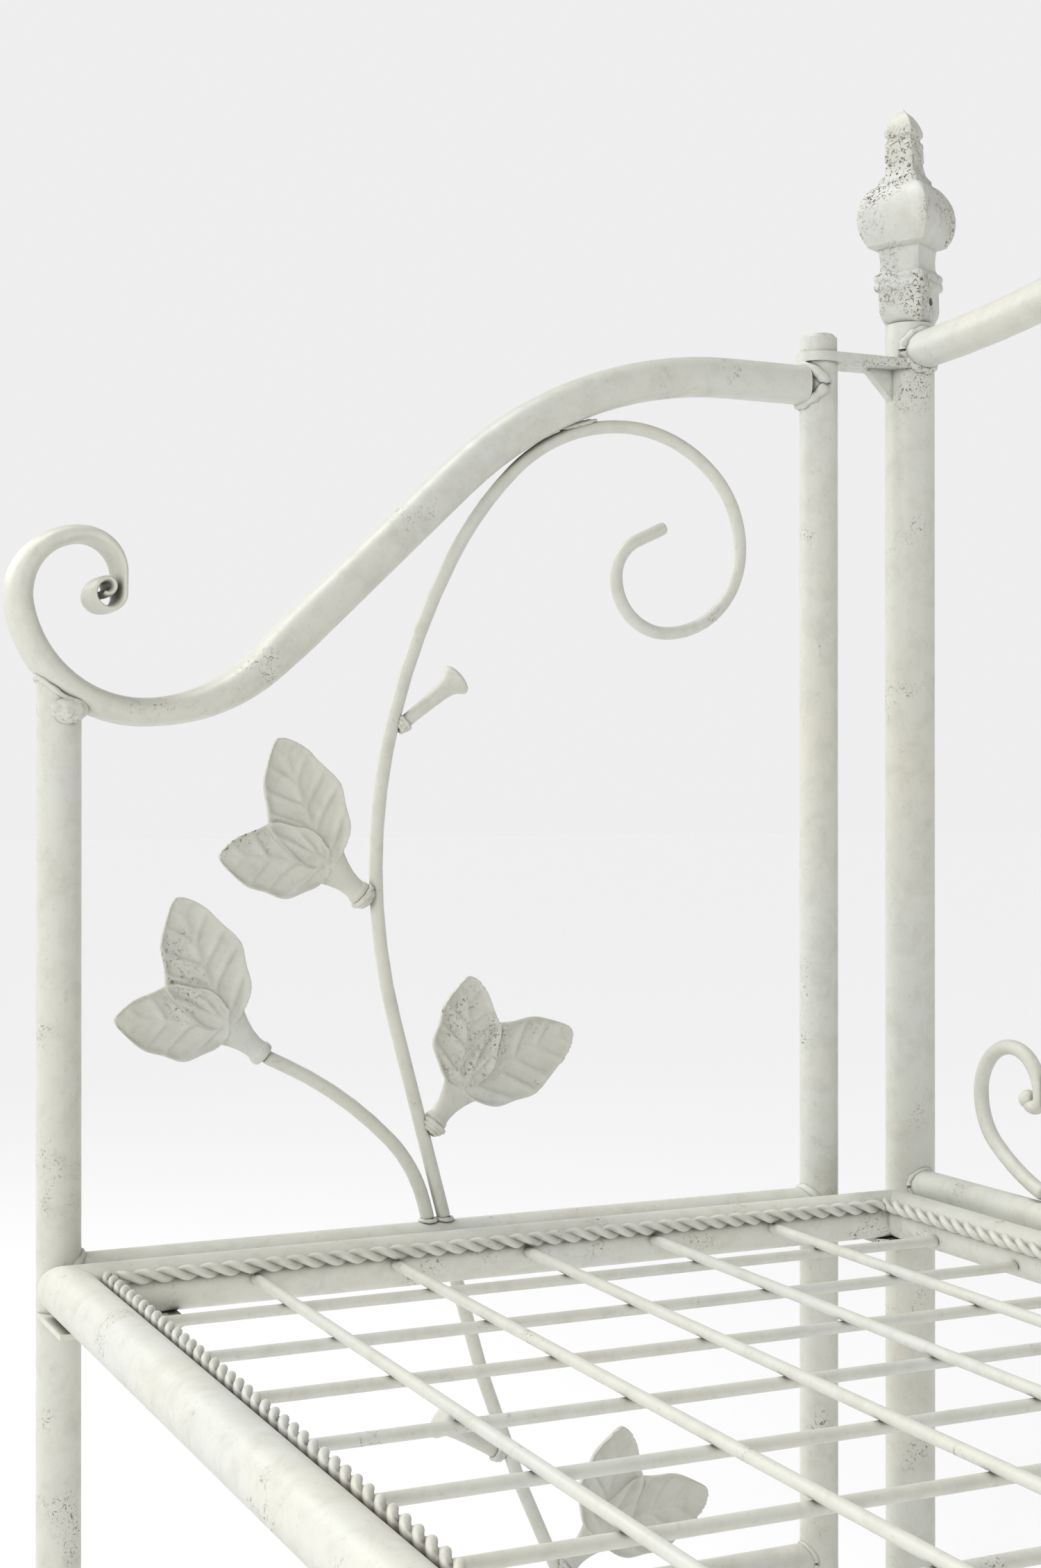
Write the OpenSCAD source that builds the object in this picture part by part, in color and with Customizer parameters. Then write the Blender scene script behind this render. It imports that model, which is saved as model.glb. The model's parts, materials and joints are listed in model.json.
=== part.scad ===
/* [Overall] */
// Distance between the two end panels, centre to centre
end_spacing = 1960; // [1500:10:2300]
// Distance between the front and rear post of an end panel, centre to centre
end_depth = 640; // [530:10:780]
// Height of the top of an end panel's mid rail above the floor
deck_height = 380; // [300:5:480]

/* [Tubes and rods] */
// Outside diameter of the end panels' posts and rails
post_d = 32; // [26:1:40]
// Outside diameter of the back posts
back_post_d = 42; // [34:1:50]
// Outside diameter of the seat frame's tubes
seat_tube_d = 38; // [30:1:46]
// Outside diameter of the lower rails and of the back's bottom rail
small_rail_d = 25; // [19:1:30]
// Wall of every tube
wall = 2; // [1.5:0.5:3]
// Diameter of the lattice rods
lattice_rod_d = 8; // [6:1:10]
// Diameter of the twisted rope trim
rope_d = 11; // [8:1:13]
// Diameter of the vine stems on the end panels
vine_d = 10.5; // [8:0.5:13]
// Diameter of the back panel's scrolls and vines
back_rod_d = 12; // [9:1:14]

/* [End panel top rail] */
// Height of the rail's rear end above the mid rail's top
rail_rear_rise = 671; // [560:1:810]
// Height of the rail's lowest point above the mid rail's top
rail_low_rise = 389; // [320:1:440]
// Distance of the rail's lowest point behind the front post
rail_low_y = 60; // [40:1:80]
// Straight length of the rail at the rear post
rail_rear_straight = 72; // [20:1:100]
// How much steeper the sloping stretch is than the line between the rail's ends
rail_steepness = 1.465; // [1.3:0.005:1.6]
// Radius of the bend above the front post
rail_front_bend = 140; // [110:1:180]
// Length of the sloping stretch on which the tube starts to flatten
flatten_run = 30; // [10:1:60]
// Thickness of the flattened tube at its rolled end
flat_end_thick = 5; // [4:0.5:7]

/* [Back panel] */
// Distance of the back posts behind the rear posts, centre to centre
back_offset = 92; // [80:1:110]
// Height of the back's top rail above the mid rail's top, at the posts
back_rail_rise = 706; // [600:1:850]
// Rise of the back's top rail from the posts to its crest
back_crest = 150; // [60:5:200]
// Height of the top of the back's bottom rail above the mid rail's top
back_bottom_rise = 10; // [0:1:20]
// Turn of the finials about their own axis
finial_turn = 31; // [0:1:45]
// Side of the finial's square block
finial_side = 40; // [34:1:46]

/* [Seat frame] */
// Height of the mid rail's top above the top of the seat frame
seat_drop = 1; // [0:1:10]
// Number of lengthwise lattice rods
long_rods = 5; // [3:1:7]
// Number of cross lattice rods
cross_rods = 18; // [11:1:23]
// Distance from an end tube's centre line to the nearest cross rod
cross_rod_inset = 84; // [60:1:110]

/* [Fittings] */
// Thickness of the lug plates
lug_thick = 8; // [5:1:10]
// Width of the lug plates
lug_width = 38; // [34:1:46]
// Height of the locking cap's head
cap_head = 16; // [10:1:20]
// Length of the locking cap's plug inside the post
cap_plug = 30; // [15:1:40]
// Thickness of the support tabs under the seat frame
tab_thick = 4; // [3:1:6]
// Diameter of the hole in each support tab
tab_hole_d = 9; // [6:1:11]
// Height of the glides under the legs
glide_height = 8; // [5:1:12]

/* [Hidden] */
$fn = 48;

// Clearances
touch = 0.1;        // between a coped tube end and the tube it is welded to
seat_clear = 1;     // between the seat frame and the posts around it
plug_clear = 0.3;   // between a plug and the bore it stands in
trim_gap = 0.3;     // between the rope trim and the tube it follows

// Radii and centre heights
post_r = post_d / 2;
back_post_r = back_post_d / 2;
seat_r = seat_tube_d / 2;
small_r = small_rail_d / 2;
mid_z = deck_height - post_r;
seat_z = deck_height - seat_drop - seat_r;
lower_rail_z = 70;
leg_z = glide_height;

end_x = end_spacing / 2;

// End panel top rail, in the panel's own plane: [distance behind the front post, height above the mid rail]
rail_run = end_depth - post_r - rail_rear_straight - rail_low_y;
rail_drop = rail_rear_rise - rail_low_rise;
rail_slope = atan2(rail_drop, rail_run) * rail_steepness;
bends_sum = (rail_run * sin(rail_slope) - rail_drop * cos(rail_slope)) / (1 - cos(rail_slope));
rail_rear_bend = bends_sum - rail_front_bend;
rail_straight = (rail_drop - bends_sum * (1 - cos(rail_slope))) / sin(rail_slope);
rail_bend_y = end_depth - post_r - rail_rear_straight;
rail_bend_start = [rail_bend_y, rail_rear_rise];
rail_bend_centre = rail_bend_start - [0, rail_rear_bend];

// The bend that rests on the front post, and how much thinner the flattened tube is there
front_scroll_bend = 90;
dip_flattening = 11;
post_cope_r = front_scroll_bend + (post_d - dip_flattening) / 2;

// The scroll at the front of the top rail: steps of [turn, radius], or [0, length] where straight
scroll_steps = [
    [0, rail_straight - flatten_run],
    [0, flatten_run],
    [-rail_slope, rail_front_bend],
    [-80, front_scroll_bend],
    [-100, 45],
    [-90, 28],
    [0, 15],
    [-250, 11],
    [-230, 5.5]
];
// Thickness of the flattening tube against the length along it from the bend above the front post
scroll_thick = [
    [-flatten_run, post_d],
    [60 - flatten_run, post_d - 6],
    [125 - flatten_run, post_d - dip_flattening],
    [280 - flatten_run, post_d - 13],
    [330 - flatten_run, post_d - 18],
    [380 - flatten_run, flat_end_thick + 2],
    [420 - flatten_run, flat_end_thick]
];

// How far the scroll stands out in front of the front post
scroll_start = after([rail_bend_start, 180], [rail_slope, rail_rear_bend]);
scroll_path = along(scroll_start, scroll_steps, 10);
scroll_depths = [for (l = lengths(scroll_path)) lookup(l - rail_straight, scroll_thick)];
scroll_reach = -min([for (i = [0:len(scroll_path) - 1])
    scroll_path[i][0][0] - scroll_depths[i] / 2 * abs(sin(scroll_path[i][1]))]);

// How far a finial's bulb stands out behind the back post; its outline is drawn for a block of this side
finial_bulb = 33;
finial_drawn_side = 40;
finial_reach = finial_bulb * finial_side / finial_drawn_side * (cos(finial_turn) + sin(finial_turn));

// Plan positions, from the centre of the whole daybed's box
front_y = scroll_reach - (scroll_reach + end_depth + back_offset + finial_reach) / 2;
rear_y = front_y + end_depth;
back_y = rear_y + back_offset;

// Seat frame tube centres
seat_x = end_x - post_r - seat_clear - seat_r;
seat_front_y = front_y;
seat_back_y = back_y - back_post_r - seat_clear - seat_r;
seat_mid_y = (seat_back_y + seat_front_y) / 2;
seat_length = 2 * (seat_x + seat_r);
seat_width = seat_back_y - seat_front_y + seat_tube_d;

// Rope trim lies on the inner upper side of each tube
rope_angle = 28;
rope_reach = seat_r + rope_d / 2 + trim_gap;
rope_in = rope_reach * cos(rope_angle);
rope_up = rope_reach * sin(rope_angle);
lattice_z = seat_z + rope_up - rope_d / 2 - lattice_rod_d / 2 - trim_gap;

// Vine on an end panel: a straight foot, then bends that keep their proportion to the panel's depth
vine_size = end_depth / 640;
vine_heading = 105;
vine_bends = [
    [-30, 458],
    [-13, 573],
    [-17, 300],
    [-45, 140],
    [-45, 115],
    [-45, 85],
    [-90, 71],
    [-90, 44],
    [-65, 33],
    [0, 28]
];
weld_gap = 0.2;
vine_foot = [299 * vine_size, 0];
vine_start = [vine_foot + [0, foot_lift(vine_d)], vine_heading];
vine_run = foot_run(vine_start, sized(vine_bends, vine_size), rail_bend_centre,
    rail_rear_bend - post_r - vine_d / 2 - weld_gap, rail_slope);
vine_steps = concat([[0, vine_run]], sized(vine_bends, vine_size));

// Lower vine, from under the mid rail to the lower rail
lower_drop = mid_z - post_r - lower_rail_z - small_r;
lower_turn = 12;
lower_heading = -76;

// Branch beside the stem's foot, and the leaf castings and buds
branch_start = [vine_start[0] - [vine_d + 3, 0], vine_heading];
branch_steps = sized([
    [0, 14],
    [29, 115],
    [20, 300],
    [0, 17]
], vine_size);
leaf_thick = 8;
neck_w = 18;
leaf_fork = 42 * vine_size;
long_leaf = 104 * vine_size;
long_leaf_w = 60 * vine_size;
long_leaf_angle = 27;
short_leaf = 86 * vine_size;
short_leaf_w = 50 * vine_size;
short_leaf_angle = 37;
leaf_lean = 139;
base_leaf_lean = 49;
lower_leaf_lean = 38;
bud_length = 58;
bud_d = 26;

// Lower vine stem, a single slow bend
lower_chord = (lower_drop - 3.4) / sin(-lower_heading - lower_turn / 2);
lower_step = [lower_turn, lower_chord / (2 * sin(lower_turn / 2))];
lower_start = [vine_foot + [6.5, -post_d - 1.5], lower_heading];

// Tops of the posts and the lugs on them
post_top = rail_rear_rise + post_r + 3;
lug_z = deck_height + post_top;
cap_d = post_d - 1;
cap_plug_d = post_d - 2 * wall - 2 * plug_clear;
gusset = 26;
back_post_top = back_rail_rise + post_r + 8;
finial_peg_d = 20;
finial_peg_h = 28;
finial_screw_d = 7;
finial_screw_z = 18;
finial_screw_length = 5;

// Back panel
back_bottom_z = deck_height + back_bottom_rise - small_r;
back_scroll_start = [[-end_x + 180, back_bottom_rise + back_rod_d / 2 + weld_gap], 163];
back_scroll_steps = [
    [-20, 195],
    [-53, 50],
    [-90, 40],
    [-90, 36],
    [-160, 8]
];
boss_d = 18;
boss_height = 31;
boss_lift = 6;

// Support tabs: length from a post's centre, and how far the plate stands out inside the seat's end tube
front_tab_length = 76;
front_tab_overhang = 20;
back_tab_length = 62;
back_tab_overhang = -5;
tab_corner = 8;
// Centre of a tab's hole, from the plate's inner edge and from its end
tab_hole_in = 28;
tab_hole_back = 13;

// Back panel's top rail: two equal bends and a straight stretch between them, on each side of the crest
crest_straight = 0.15 * end_x;
crest_angle = 2 * atan2(back_crest, end_x + crest_straight);
crest_bend = (end_x - crest_straight * cos(crest_angle)) / (2 * sin(crest_angle));
back_rail_joint = [-end_x + crest_bend * sin(crest_angle), back_rail_rise + crest_bend * (1 - cos(crest_angle))];

// Back vine, whose crown meets the underside of the bend at the top rail's crest
back_vine_size = 1.3 * end_x / 980;
back_vine_start = [[-0.44 * end_x, back_bottom_rise + foot_lift(back_rod_d)], vine_heading];
back_vine_run = foot_run(back_vine_start, sized(vine_bends, back_vine_size),
    [0, back_rail_rise + back_crest - crest_bend], crest_bend - post_r - back_rod_d / 2 - weld_gap, crest_angle);
back_vine_steps = concat([[0, back_vine_run]], sized(vine_bends, back_vine_size));

// The boss between a pair of scrolls, beside the place where a scroll runs straight down
scroll_side = states(back_scroll_start, back_scroll_steps)[4][0];
boss_place = scroll_side + [back_rod_d / 2 + weld_gap + boss_d / 2, boss_lift];

// ---- Paths in a plane ----

// State after a step: [place, heading]
function after(state, step) =
    step[0] == 0
    ? [state[0] + step[1] * [cos(state[1]), sin(state[1])], state[1]]
    : [state[0] + sign(step[0]) * step[1]
        * [sin(state[1] + step[0]) - sin(state[1]), cos(state[1]) - cos(state[1] + step[0])],
       state[1] + step[0]];

// States at the start of every step and at the end of the last
function states(start, steps) =
    [for (i = 0, s = start; i <= len(steps); s = i < len(steps) ? after(s, steps[i]) : s, i = i + 1) s];

// Pieces that a step is cut into, so that no chord turns by more than the given angle
function cuts(step, chord) = max(1, ceil(abs(step[0]) / chord));

// The first part of a step, given as a share from 0 to 1
function part_of(step, share) =
    step[0] == 0 || share == 0 ? [0, share * step[1]] : [share * step[0], step[1]];

// States along a path, closely spaced on its bends
function along(start, steps, chord = 9) =
    let (at = states(start, steps))
    concat(
        [for (i = [0:len(steps) - 1])
            let (n = cuts(steps[i], chord), step = steps[i])
            for (k = [0:n - 1])
                after(at[i], part_of(step, k / n))],
        [at[len(steps)]]
    );

// Length of a step
function run(step) = step[0] == 0 ? step[1] : abs(step[0]) * PI / 180 * step[1];

// A step list made larger or smaller
function sized(steps, k) = [for (s = steps) [s[0], s[1] * k]];

// Lengths along a list of states
function lengths(path) =
    [for (i = 0, sum = 0; i < len(path);
        i = i + 1, sum = i < len(path) ? sum + norm(path[i][0] - path[i - 1][0]) : sum) sum];

// Height at which a leaning rod's foot starts, so that its lower edge stays clear of what it stands on
function foot_lift(d) = d / 2 * abs(cos(vine_heading)) + weld_gap;

// Length of a vine's straight foot that brings its crown out to the underside of a rail's bend: the bend's
// centre, the radius that the vine may reach to, and the angle of the bend, measured from its top
function foot_run(start, bends, centre, reach, angle) =
    let (way = [cos(vine_heading), sin(vine_heading)])
    min([for (s = along(start, bends, 1))
        let (
            from = s[0] - centre,
            lean = from * way,
            room = lean * lean - from * from + reach * reach
        )
        if (room >= 0)
            let (
                length = sqrt(room) - lean,
                end = from + length * way,
                place = atan2(end[1], end[0]) - 90
            )
            if (place >= 0 && place <= angle) length]);

// ---- Basic shapes ----

// Turns local x, y and z into the daybed's Y, Z and X
module upright() {
    rotate([90, 0, 90]) children();
}

// A solid swept along a path in the XY plane, an ellipse at every state
module sweep(path, thick, wide, sides) {
    rings = [for (i = [0:len(path) - 1])
        let (p = path[i][0], h = path[i][1])
        [for (k = [0:sides - 1])
            let (a = 360 * k / sides, u = thick[i] / 2 * cos(a))
            [p[0] - u * sin(h), p[1] + u * cos(h), wide[i] / 2 * sin(a)]]];
    last = len(path) - 1;
    points = concat([for (r = rings) each r], [[path[0][0][0], path[0][0][1], 0]],
        [[path[last][0][0], path[last][0][1], 0]]);
    first_cap = sides * (last + 1);
    walls = [for (i = [0:last - 1]) for (k = [0:sides - 1])
        let (a = i * sides + k, b = i * sides + (k + 1) % sides)
        each [[a, b, b + sides], [a, b + sides, a + sides]]];
    caps = [for (k = [0:sides - 1])
        let (n = (k + 1) % sides)
        each [[first_cap, n, k], [first_cap + 1, last * sides + k, last * sides + n]]];
    polyhedron(points, concat(walls, caps));
}

// A round rod swept along a path
module swept_rod(path, d, sides = 10) {
    even = [for (s = path) d];
    sweep(path, even, even, sides);
}

// A hollow tube along +Z
module tube(d, length) {
    difference() {
        cylinder(d = d, h = length);
        translate([0, 0, -1]) cylinder(d = d - 2 * wall, h = length + 2);
    }
}

// Places the children in an end panel: side is -1 for the left end and 1 for the right; +X points inwards
module at_end(side) {
    mirror([side > 0 ? 1 : 0, 0, 0])
        translate([-end_x, 0, 0])
            children();
}

// Places a drawing in the end panel's plane, measured from the front post and the mid rail's top
module in_panel() {
    translate([0, front_y, deck_height]) upright() children();
}

// Places a drawing in the back panel's plane, measured from the centre and the mid rail's top
module in_back() {
    translate([0, back_y, deck_height]) rotate([90, 0, 0]) children();
}

// ---- End panel ----

// Front post: its open top is cut round the underside of the scroll it is welded to
module front_post(side) {
    color("ivory")
        at_end(side)
            difference() {
                translate([0, front_y, leg_z])
                    tube(post_d, deck_height + rail_low_rise + 30 - leg_z);
                in_panel()
                    translate([rail_low_y, rail_low_rise + front_scroll_bend, -post_d])
                        cylinder(r = post_cope_r, h = 2 * post_d, $fn = 96);
            }
}

// Rear post: its open top takes the locking cap
module rear_post(side) {
    color("ivory")
        at_end(side)
            translate([0, rear_y, leg_z])
                tube(post_d, deck_height + post_top - leg_z);
}

// A straight tube between the two posts of an end panel, cut to fit round them
module post_rail(z, d) {
    difference() {
        translate([0, front_y, z])
            rotate([-90, 0, 0])
                tube(d, end_depth);
        for (y = [front_y, rear_y])
            translate([0, y, z - d])
                cylinder(r = post_r + touch, h = 2 * d);
    }
}

module mid_rail(side) {
    color("ivory") at_end(side) post_rail(mid_z, post_d);
}

module lower_rail(side) {
    color("ivory") at_end(side) post_rail(lower_rail_z, small_rail_d);
}

// The round stretch of the S-curved top rail, at one diameter; its straight end longer by the given amount
module rail_run_shape(d, longer) {
    translate([rail_bend_y, rail_rear_rise, 0])
        rotate([0, 90, 0])
            cylinder(d = d, h = end_depth - rail_bend_y - 2 + longer);
    translate(rail_bend_centre)
        rotate([0, 0, 90])
            rotate_extrude(angle = rail_slope, $fn = 96)
                translate([rail_rear_bend, 0])
                    circle(d = d);
}

module top_rail(side) {
    color("ivory")
        at_end(side)
            difference() {
                in_panel()
                    difference() {
                        rail_run_shape(post_d, 0);
                        rail_run_shape(post_d - 2 * wall, 5);
                    }
                translate([0, rear_y, deck_height + rail_rear_rise - post_d])
                    cylinder(r = post_r + touch, h = 2 * post_d);
            }
}

// The rest of the same tube: its slope, then the flattened and rolled scroll
module top_scroll(side) {
    wide = [for (t = scroll_depths) sqrt(2 * post_d * post_d - t * t)];
    color("ivory")
        at_end(side)
            in_panel()
                sweep(scroll_path, scroll_depths, wide, 20);
}

// The state part of the way along one step of a path
function within(start, steps, step, share) =
    after(states(start, steps)[step], part_of(steps[step], share));

function on_vine(step, share) = within(vine_start, vine_steps, step, share);

// A place beside a stem, clear of its surface, towards the given direction
function beside(state, direction, d = vine_d) =
    let (across = abs(sin(direction - state[1])))
    state[0] + (d / 2 + 0.2 + neck_w / 2 * abs(cos(direction - state[1]))) / across
        * [cos(direction), sin(direction)];

module vine_stem(side) {
    color("ivory") at_end(side) in_panel() swept_rod(along(vine_start, vine_steps), vine_d);
}

module vine_branch(side) {
    color("ivory") at_end(side) in_panel() swept_rod(along(branch_start, branch_steps), vine_d);
}

module lower_stem(side) {
    color("ivory") at_end(side) in_panel() swept_rod(along(lower_start, [lower_step], 3), vine_d);
}

// One pointed leaf blade from the origin along +X
module blade(length, width) {
    r = (length * length / 4 + width * width / 4) / width;
    intersection_for(s = [-1, 1])
        translate([length / 2, s * (r - width / 2), 0])
            cylinder(r = r, h = leaf_thick, center = true, $fn = 96);
}

// The two-leaved casting: its neck starts at the origin and points along +X
module leaf_casting() {
    rotate([0, 90, 0]) cylinder(d = neck_w, h = neck_w / 3);
    translate([0, -neck_w / 2, -leaf_thick / 2]) cube([leaf_fork, neck_w, leaf_thick]);
    translate([leaf_fork, 0, 0]) cylinder(d = 2 * neck_w, h = leaf_thick, center = true);
    translate([leaf_fork - 4, 0, 0]) rotate([0, 0, -long_leaf_angle]) blade(long_leaf, long_leaf_w);
    translate([leaf_fork - 4, 0, 0]) rotate([0, 0, short_leaf_angle]) blade(short_leaf, short_leaf_w);
}

// A casting placed in the panel's plane at [place, direction]
module leaf_at(place, direction) {
    translate(place) rotate([0, 0, direction]) leaf_casting();
}

module branch_leaf(side) {
    branch_end = states(branch_start, branch_steps)[len(branch_steps)];
    clear = weld_gap + vine_d / 2 * abs(sin(branch_end[1] - leaf_lean));
    place = branch_end[0] + clear * [cos(leaf_lean), sin(leaf_lean)];
    color("ivory") at_end(side) in_panel() leaf_at(place, leaf_lean);
}

module stem_leaf(side) {
    color("ivory") at_end(side) in_panel() leaf_at(beside(on_vine(1, 0.37), leaf_lean), leaf_lean);
}

module base_leaf(side) {
    color("ivory") at_end(side) in_panel() leaf_at(beside(on_vine(0, 0.42), base_leaf_lean), base_leaf_lean);
}

module lower_leaf(side) {
    on_stem = within(lower_start, [lower_step], 0, 0.97);
    color("ivory") at_end(side) in_panel() leaf_at(beside(on_stem, lower_leaf_lean), lower_leaf_lean);
}

// A short tendril ending in a flared bud, along +X from the origin
module bud() {
    rotate([0, 90, 0]) {
        cylinder(d1 = vine_d, d2 = vine_d + 4, h = bud_length - 12);
        translate([0, 0, bud_length - 12]) cylinder(d1 = vine_d + 4, d2 = bud_d, h = 8);
        translate([0, 0, bud_length - 4]) cylinder(d1 = bud_d, d2 = bud_d - 6, h = 4);
    }
}

module bud_at(state, direction) {
    across = abs(sin(direction - state[1]));
    start = state[0] + (vine_d / 2 + 0.2 + vine_d / 2 * abs(cos(direction - state[1]))) / across
        * [cos(direction), sin(direction)];
    translate(start) rotate([0, 0, direction]) bud();
}

module buds(side) {
    color("ivory")
        at_end(side)
            in_panel() {
                bud_at(on_vine(1, 0.93), 38);
                bud_at(within(lower_start, [lower_step], 0, 0.6), 148);
            }
}

// ---- Back panel ----

// Back post: closed at the top, with a peg that the finial fits over
module back_post(side) {
    color("ivory")
        at_end(side)
            translate([0, back_y, leg_z]) {
                length = deck_height + back_post_top - leg_z;
                difference() {
                    cylinder(d = back_post_d, h = length);
                    translate([0, 0, -1]) cylinder(d = back_post_d - 2 * wall, h = length - 3);
                }
                translate([0, 0, length - 1]) cylinder(d = finial_peg_d, h = finial_peg_h + 1);
            }
}

// Half of the back's top rail at one diameter: a rising bend, a straight stretch and the bend to the crest
module back_rail_shape(d) {
    translate(back_rail_joint)
        rotate([0, 0, crest_angle]) {
            rotate([0, 90, 0]) cylinder(d = d, h = crest_straight);
            translate([0, crest_bend, 0]) rotate([0, 0, -90]) back_rail_bend(d);
            translate([crest_straight, -crest_bend, 0]) rotate([0, 0, 90]) back_rail_bend(d);
        }
}

// One bend of that rail, running clockwise from +X about the origin
module back_rail_bend(d) {
    rotate_extrude(angle = -crest_angle, $fn = 96)
        translate([crest_bend, 0])
            circle(d = d);
}

// Cuts whatever would stand inside a back post
module back_post_cuts(z0, z1) {
    for (s = [-1, 1])
        translate([s * end_x, back_y, z0])
            cylinder(r = back_post_r + touch, h = z1 - z0);
}

// The rail is two like halves, welded together at the crest
module back_top_rail(side) {
    color("ivory")
        difference() {
            back_half_of(side)
                difference() {
                    back_rail_shape(post_d);
                    back_rail_shape(post_d - 2 * wall);
                    translate([-touch / 2, back_rail_rise + back_crest - post_d, -post_d])
                        cube(2 * post_d);
                }
            back_post_cuts(deck_height + back_rail_rise - post_d, deck_height + back_rail_rise + post_d);
        }
}

module back_bottom_rail() {
    color("ivory")
        difference() {
            translate([-end_x, back_y, back_bottom_z])
                rotate([0, 90, 0])
                    tube(small_rail_d, end_spacing);
            back_post_cuts(back_bottom_z - small_rail_d, back_bottom_z + small_rail_d);
        }
}

// Places a drawing made for the left half of the back panel on either half
module back_half_of(side) {
    in_back() mirror([side > 0 ? 1 : 0, 0, 0]) children();
}

// A heart-shaped pair of scrolls, each with a tight curl at its upper end
module back_scrolls(side) {
    path = along(back_scroll_start, back_scroll_steps);
    color("ivory")
        back_half_of(side)
            for (turned = [0, 1])
                translate([boss_place[0], 0, 0])
                    mirror([turned, 0, 0])
                        translate([-boss_place[0], 0, 0])
                            swept_rod(path, back_rod_d);
}

// The short upright boss that both scrolls are welded to
module back_boss(side) {
    color("ivory")
        back_half_of(side)
            translate([boss_place[0], boss_place[1] - boss_height / 2, 0])
                rotate([-90, 0, 0]) {
                    cylinder(d1 = boss_d - 3, d2 = boss_d, h = 2);
                    translate([0, 0, 2]) cylinder(d = boss_d, h = boss_height - 4);
                    translate([0, 0, boss_height - 2]) cylinder(d1 = boss_d, d2 = boss_d - 3, h = 2);
                }
}

module back_vine(side) {
    color("ivory") back_half_of(side) swept_rod(along(back_vine_start, back_vine_steps), back_rod_d);
}

module back_leaves(side) {
    upper = within(back_vine_start, back_vine_steps, 1, 0.37);
    lower = within(back_vine_start, back_vine_steps, 0, 0.42);
    color("ivory")
        back_half_of(side) {
            leaf_at(beside(upper, leaf_lean, back_rod_d), leaf_lean);
            leaf_at(beside(lower, base_leaf_lean, back_rod_d), base_leaf_lean);
        }
}

// ---- Finial ----

// Half width of the finial against height, as a closed outline
function finial_half(side) =
    let (
        k = side / finial_drawn_side,
        bulb = [for (z = [66:4:118]) [finial_bulb * sqrt(1 - pow((z - 90) / 37, 2)), z]]
    )
    concat(
        [[15.5, 0], [20, 12], [20, 29], [22.8, 31], [22.8, 42], [18.6, 46], [18.6, 64]],
        bulb,
        [[17.8, 121], [17.8, 124], [11.6, 138], [12.6, 142], [12.6, 161], [10, 172], [5.5, 181], [1, 186]]
    ) * k;

module finial_slab(side, depth) {
    half = finial_half(side);
    outline = concat(half, [for (i = [len(half) - 1:-1:0]) [-half[i][0], half[i][1]]]);
    rotate([90, 0, 0])
        linear_extrude(height = depth, center = true)
            polygon(outline);
}

module finial(side) {
    color("ivory")
        at_end(side)
            translate([0, back_y, deck_height + back_post_top])
                difference() {
                    rotate([0, 0, finial_turn])
                        intersection() {
                            finial_slab(finial_side, 3 * finial_side);
                            rotate([0, 0, 90]) finial_slab(finial_side, 3 * finial_side);
                        }
                    translate([0, 0, -1])
                        cylinder(d = finial_peg_d + 2 * plug_clear, h = finial_peg_h + 2);
                    finial_screw_line() cylinder(d = finial_screw_d + 0.4, h = finial_side);
                }
}

// Places the children on the axis of a finial's set screw, pointing outwards
module finial_screw_line() {
    translate([0, 0, finial_screw_z])
        rotate([0, 0, finial_turn])
            rotate([0, 90, 0])
                children();
}

module finial_screws() {
    color("dimgray")
        for (side = [-1, 1])
            at_end(side)
                translate([0, back_y, deck_height + back_post_top])
                    finial_screw_line()
                        translate([0, 0, finial_peg_d / 2])
                            difference() {
                                cylinder(d = finial_screw_d, h = finial_screw_length);
                                translate([0, 0, finial_screw_length - 2.5])
                                    cylinder(d = 3, h = 3, $fn = 6);
                            }
}

// ---- Lugs and caps that lock the back panel to the end panels ----

// Lug: a plate welded to the back post and cut round its rail, whose eye lies over the rear post's open top
module lug(side) {
    color("ivory")
        at_end(side)
            difference() {
                union() {
                    translate([0, rear_y, lug_z]) cylinder(d = lug_width, h = lug_thick);
                    translate([-lug_width / 2, rear_y, lug_z])
                        cube([lug_width, back_offset - back_post_r / 2, lug_thick]);
                    translate([-lug_thick / 2, back_y - back_post_r, lug_z])
                        rotate([90, 0, 90])
                            linear_extrude(height = lug_thick)
                                polygon([[-gusset, 0.01], [back_post_r, 0.01], [back_post_r, -gusset], [0, -gusset]]);
                }
                translate([0, rear_y, lug_z - 1])
                    cylinder(d = cap_plug_d + 2 * plug_clear, h = lug_thick + 2);
                translate([0, back_y, lug_z - 2 * gusset])
                    cylinder(r = back_post_r + touch, h = 4 * gusset);
                translate([0, back_y, deck_height + back_rail_rise])
                    rotate([0, 90, 0])
                        cylinder(r = post_r + 3 * touch, h = lug_width);
            }
}

// Cap: its plug drops through the lug's eye into the rear post
module cap(side) {
    color("ivory")
        at_end(side)
            translate([0, rear_y, lug_z + lug_thick]) {
                cylinder(d = cap_d, h = cap_head - 3);
                translate([0, 0, cap_head - 3]) cylinder(d1 = cap_d, d2 = cap_d - 6, h = 3);
                translate([0, 0, -lug_thick - cap_plug]) cylinder(d = cap_plug_d, h = lug_thick + cap_plug + 1);
            }
}

// ---- Seat frame ----

// A tube along X with both ends mitred, longest on its outer side (towards -Y)
module mitred_tube(length) {
    intersection() {
        translate([-length / 2, 0, 0]) rotate([0, 90, 0]) tube(seat_tube_d, length);
        linear_extrude(height = 2 * seat_tube_d, center = true)
            polygon([
                [-length / 2, -seat_r], [length / 2, -seat_r],
                [length / 2 - seat_tube_d, seat_r], [-length / 2 + seat_tube_d, seat_r]
            ]);
    }
}

module seat_front_tube() {
    color("ivory") translate([0, seat_front_y, seat_z]) mitred_tube(seat_length);
}

module seat_back_tube() {
    color("ivory") translate([0, seat_back_y, seat_z]) rotate([0, 0, 180]) mitred_tube(seat_length);
}

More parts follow.
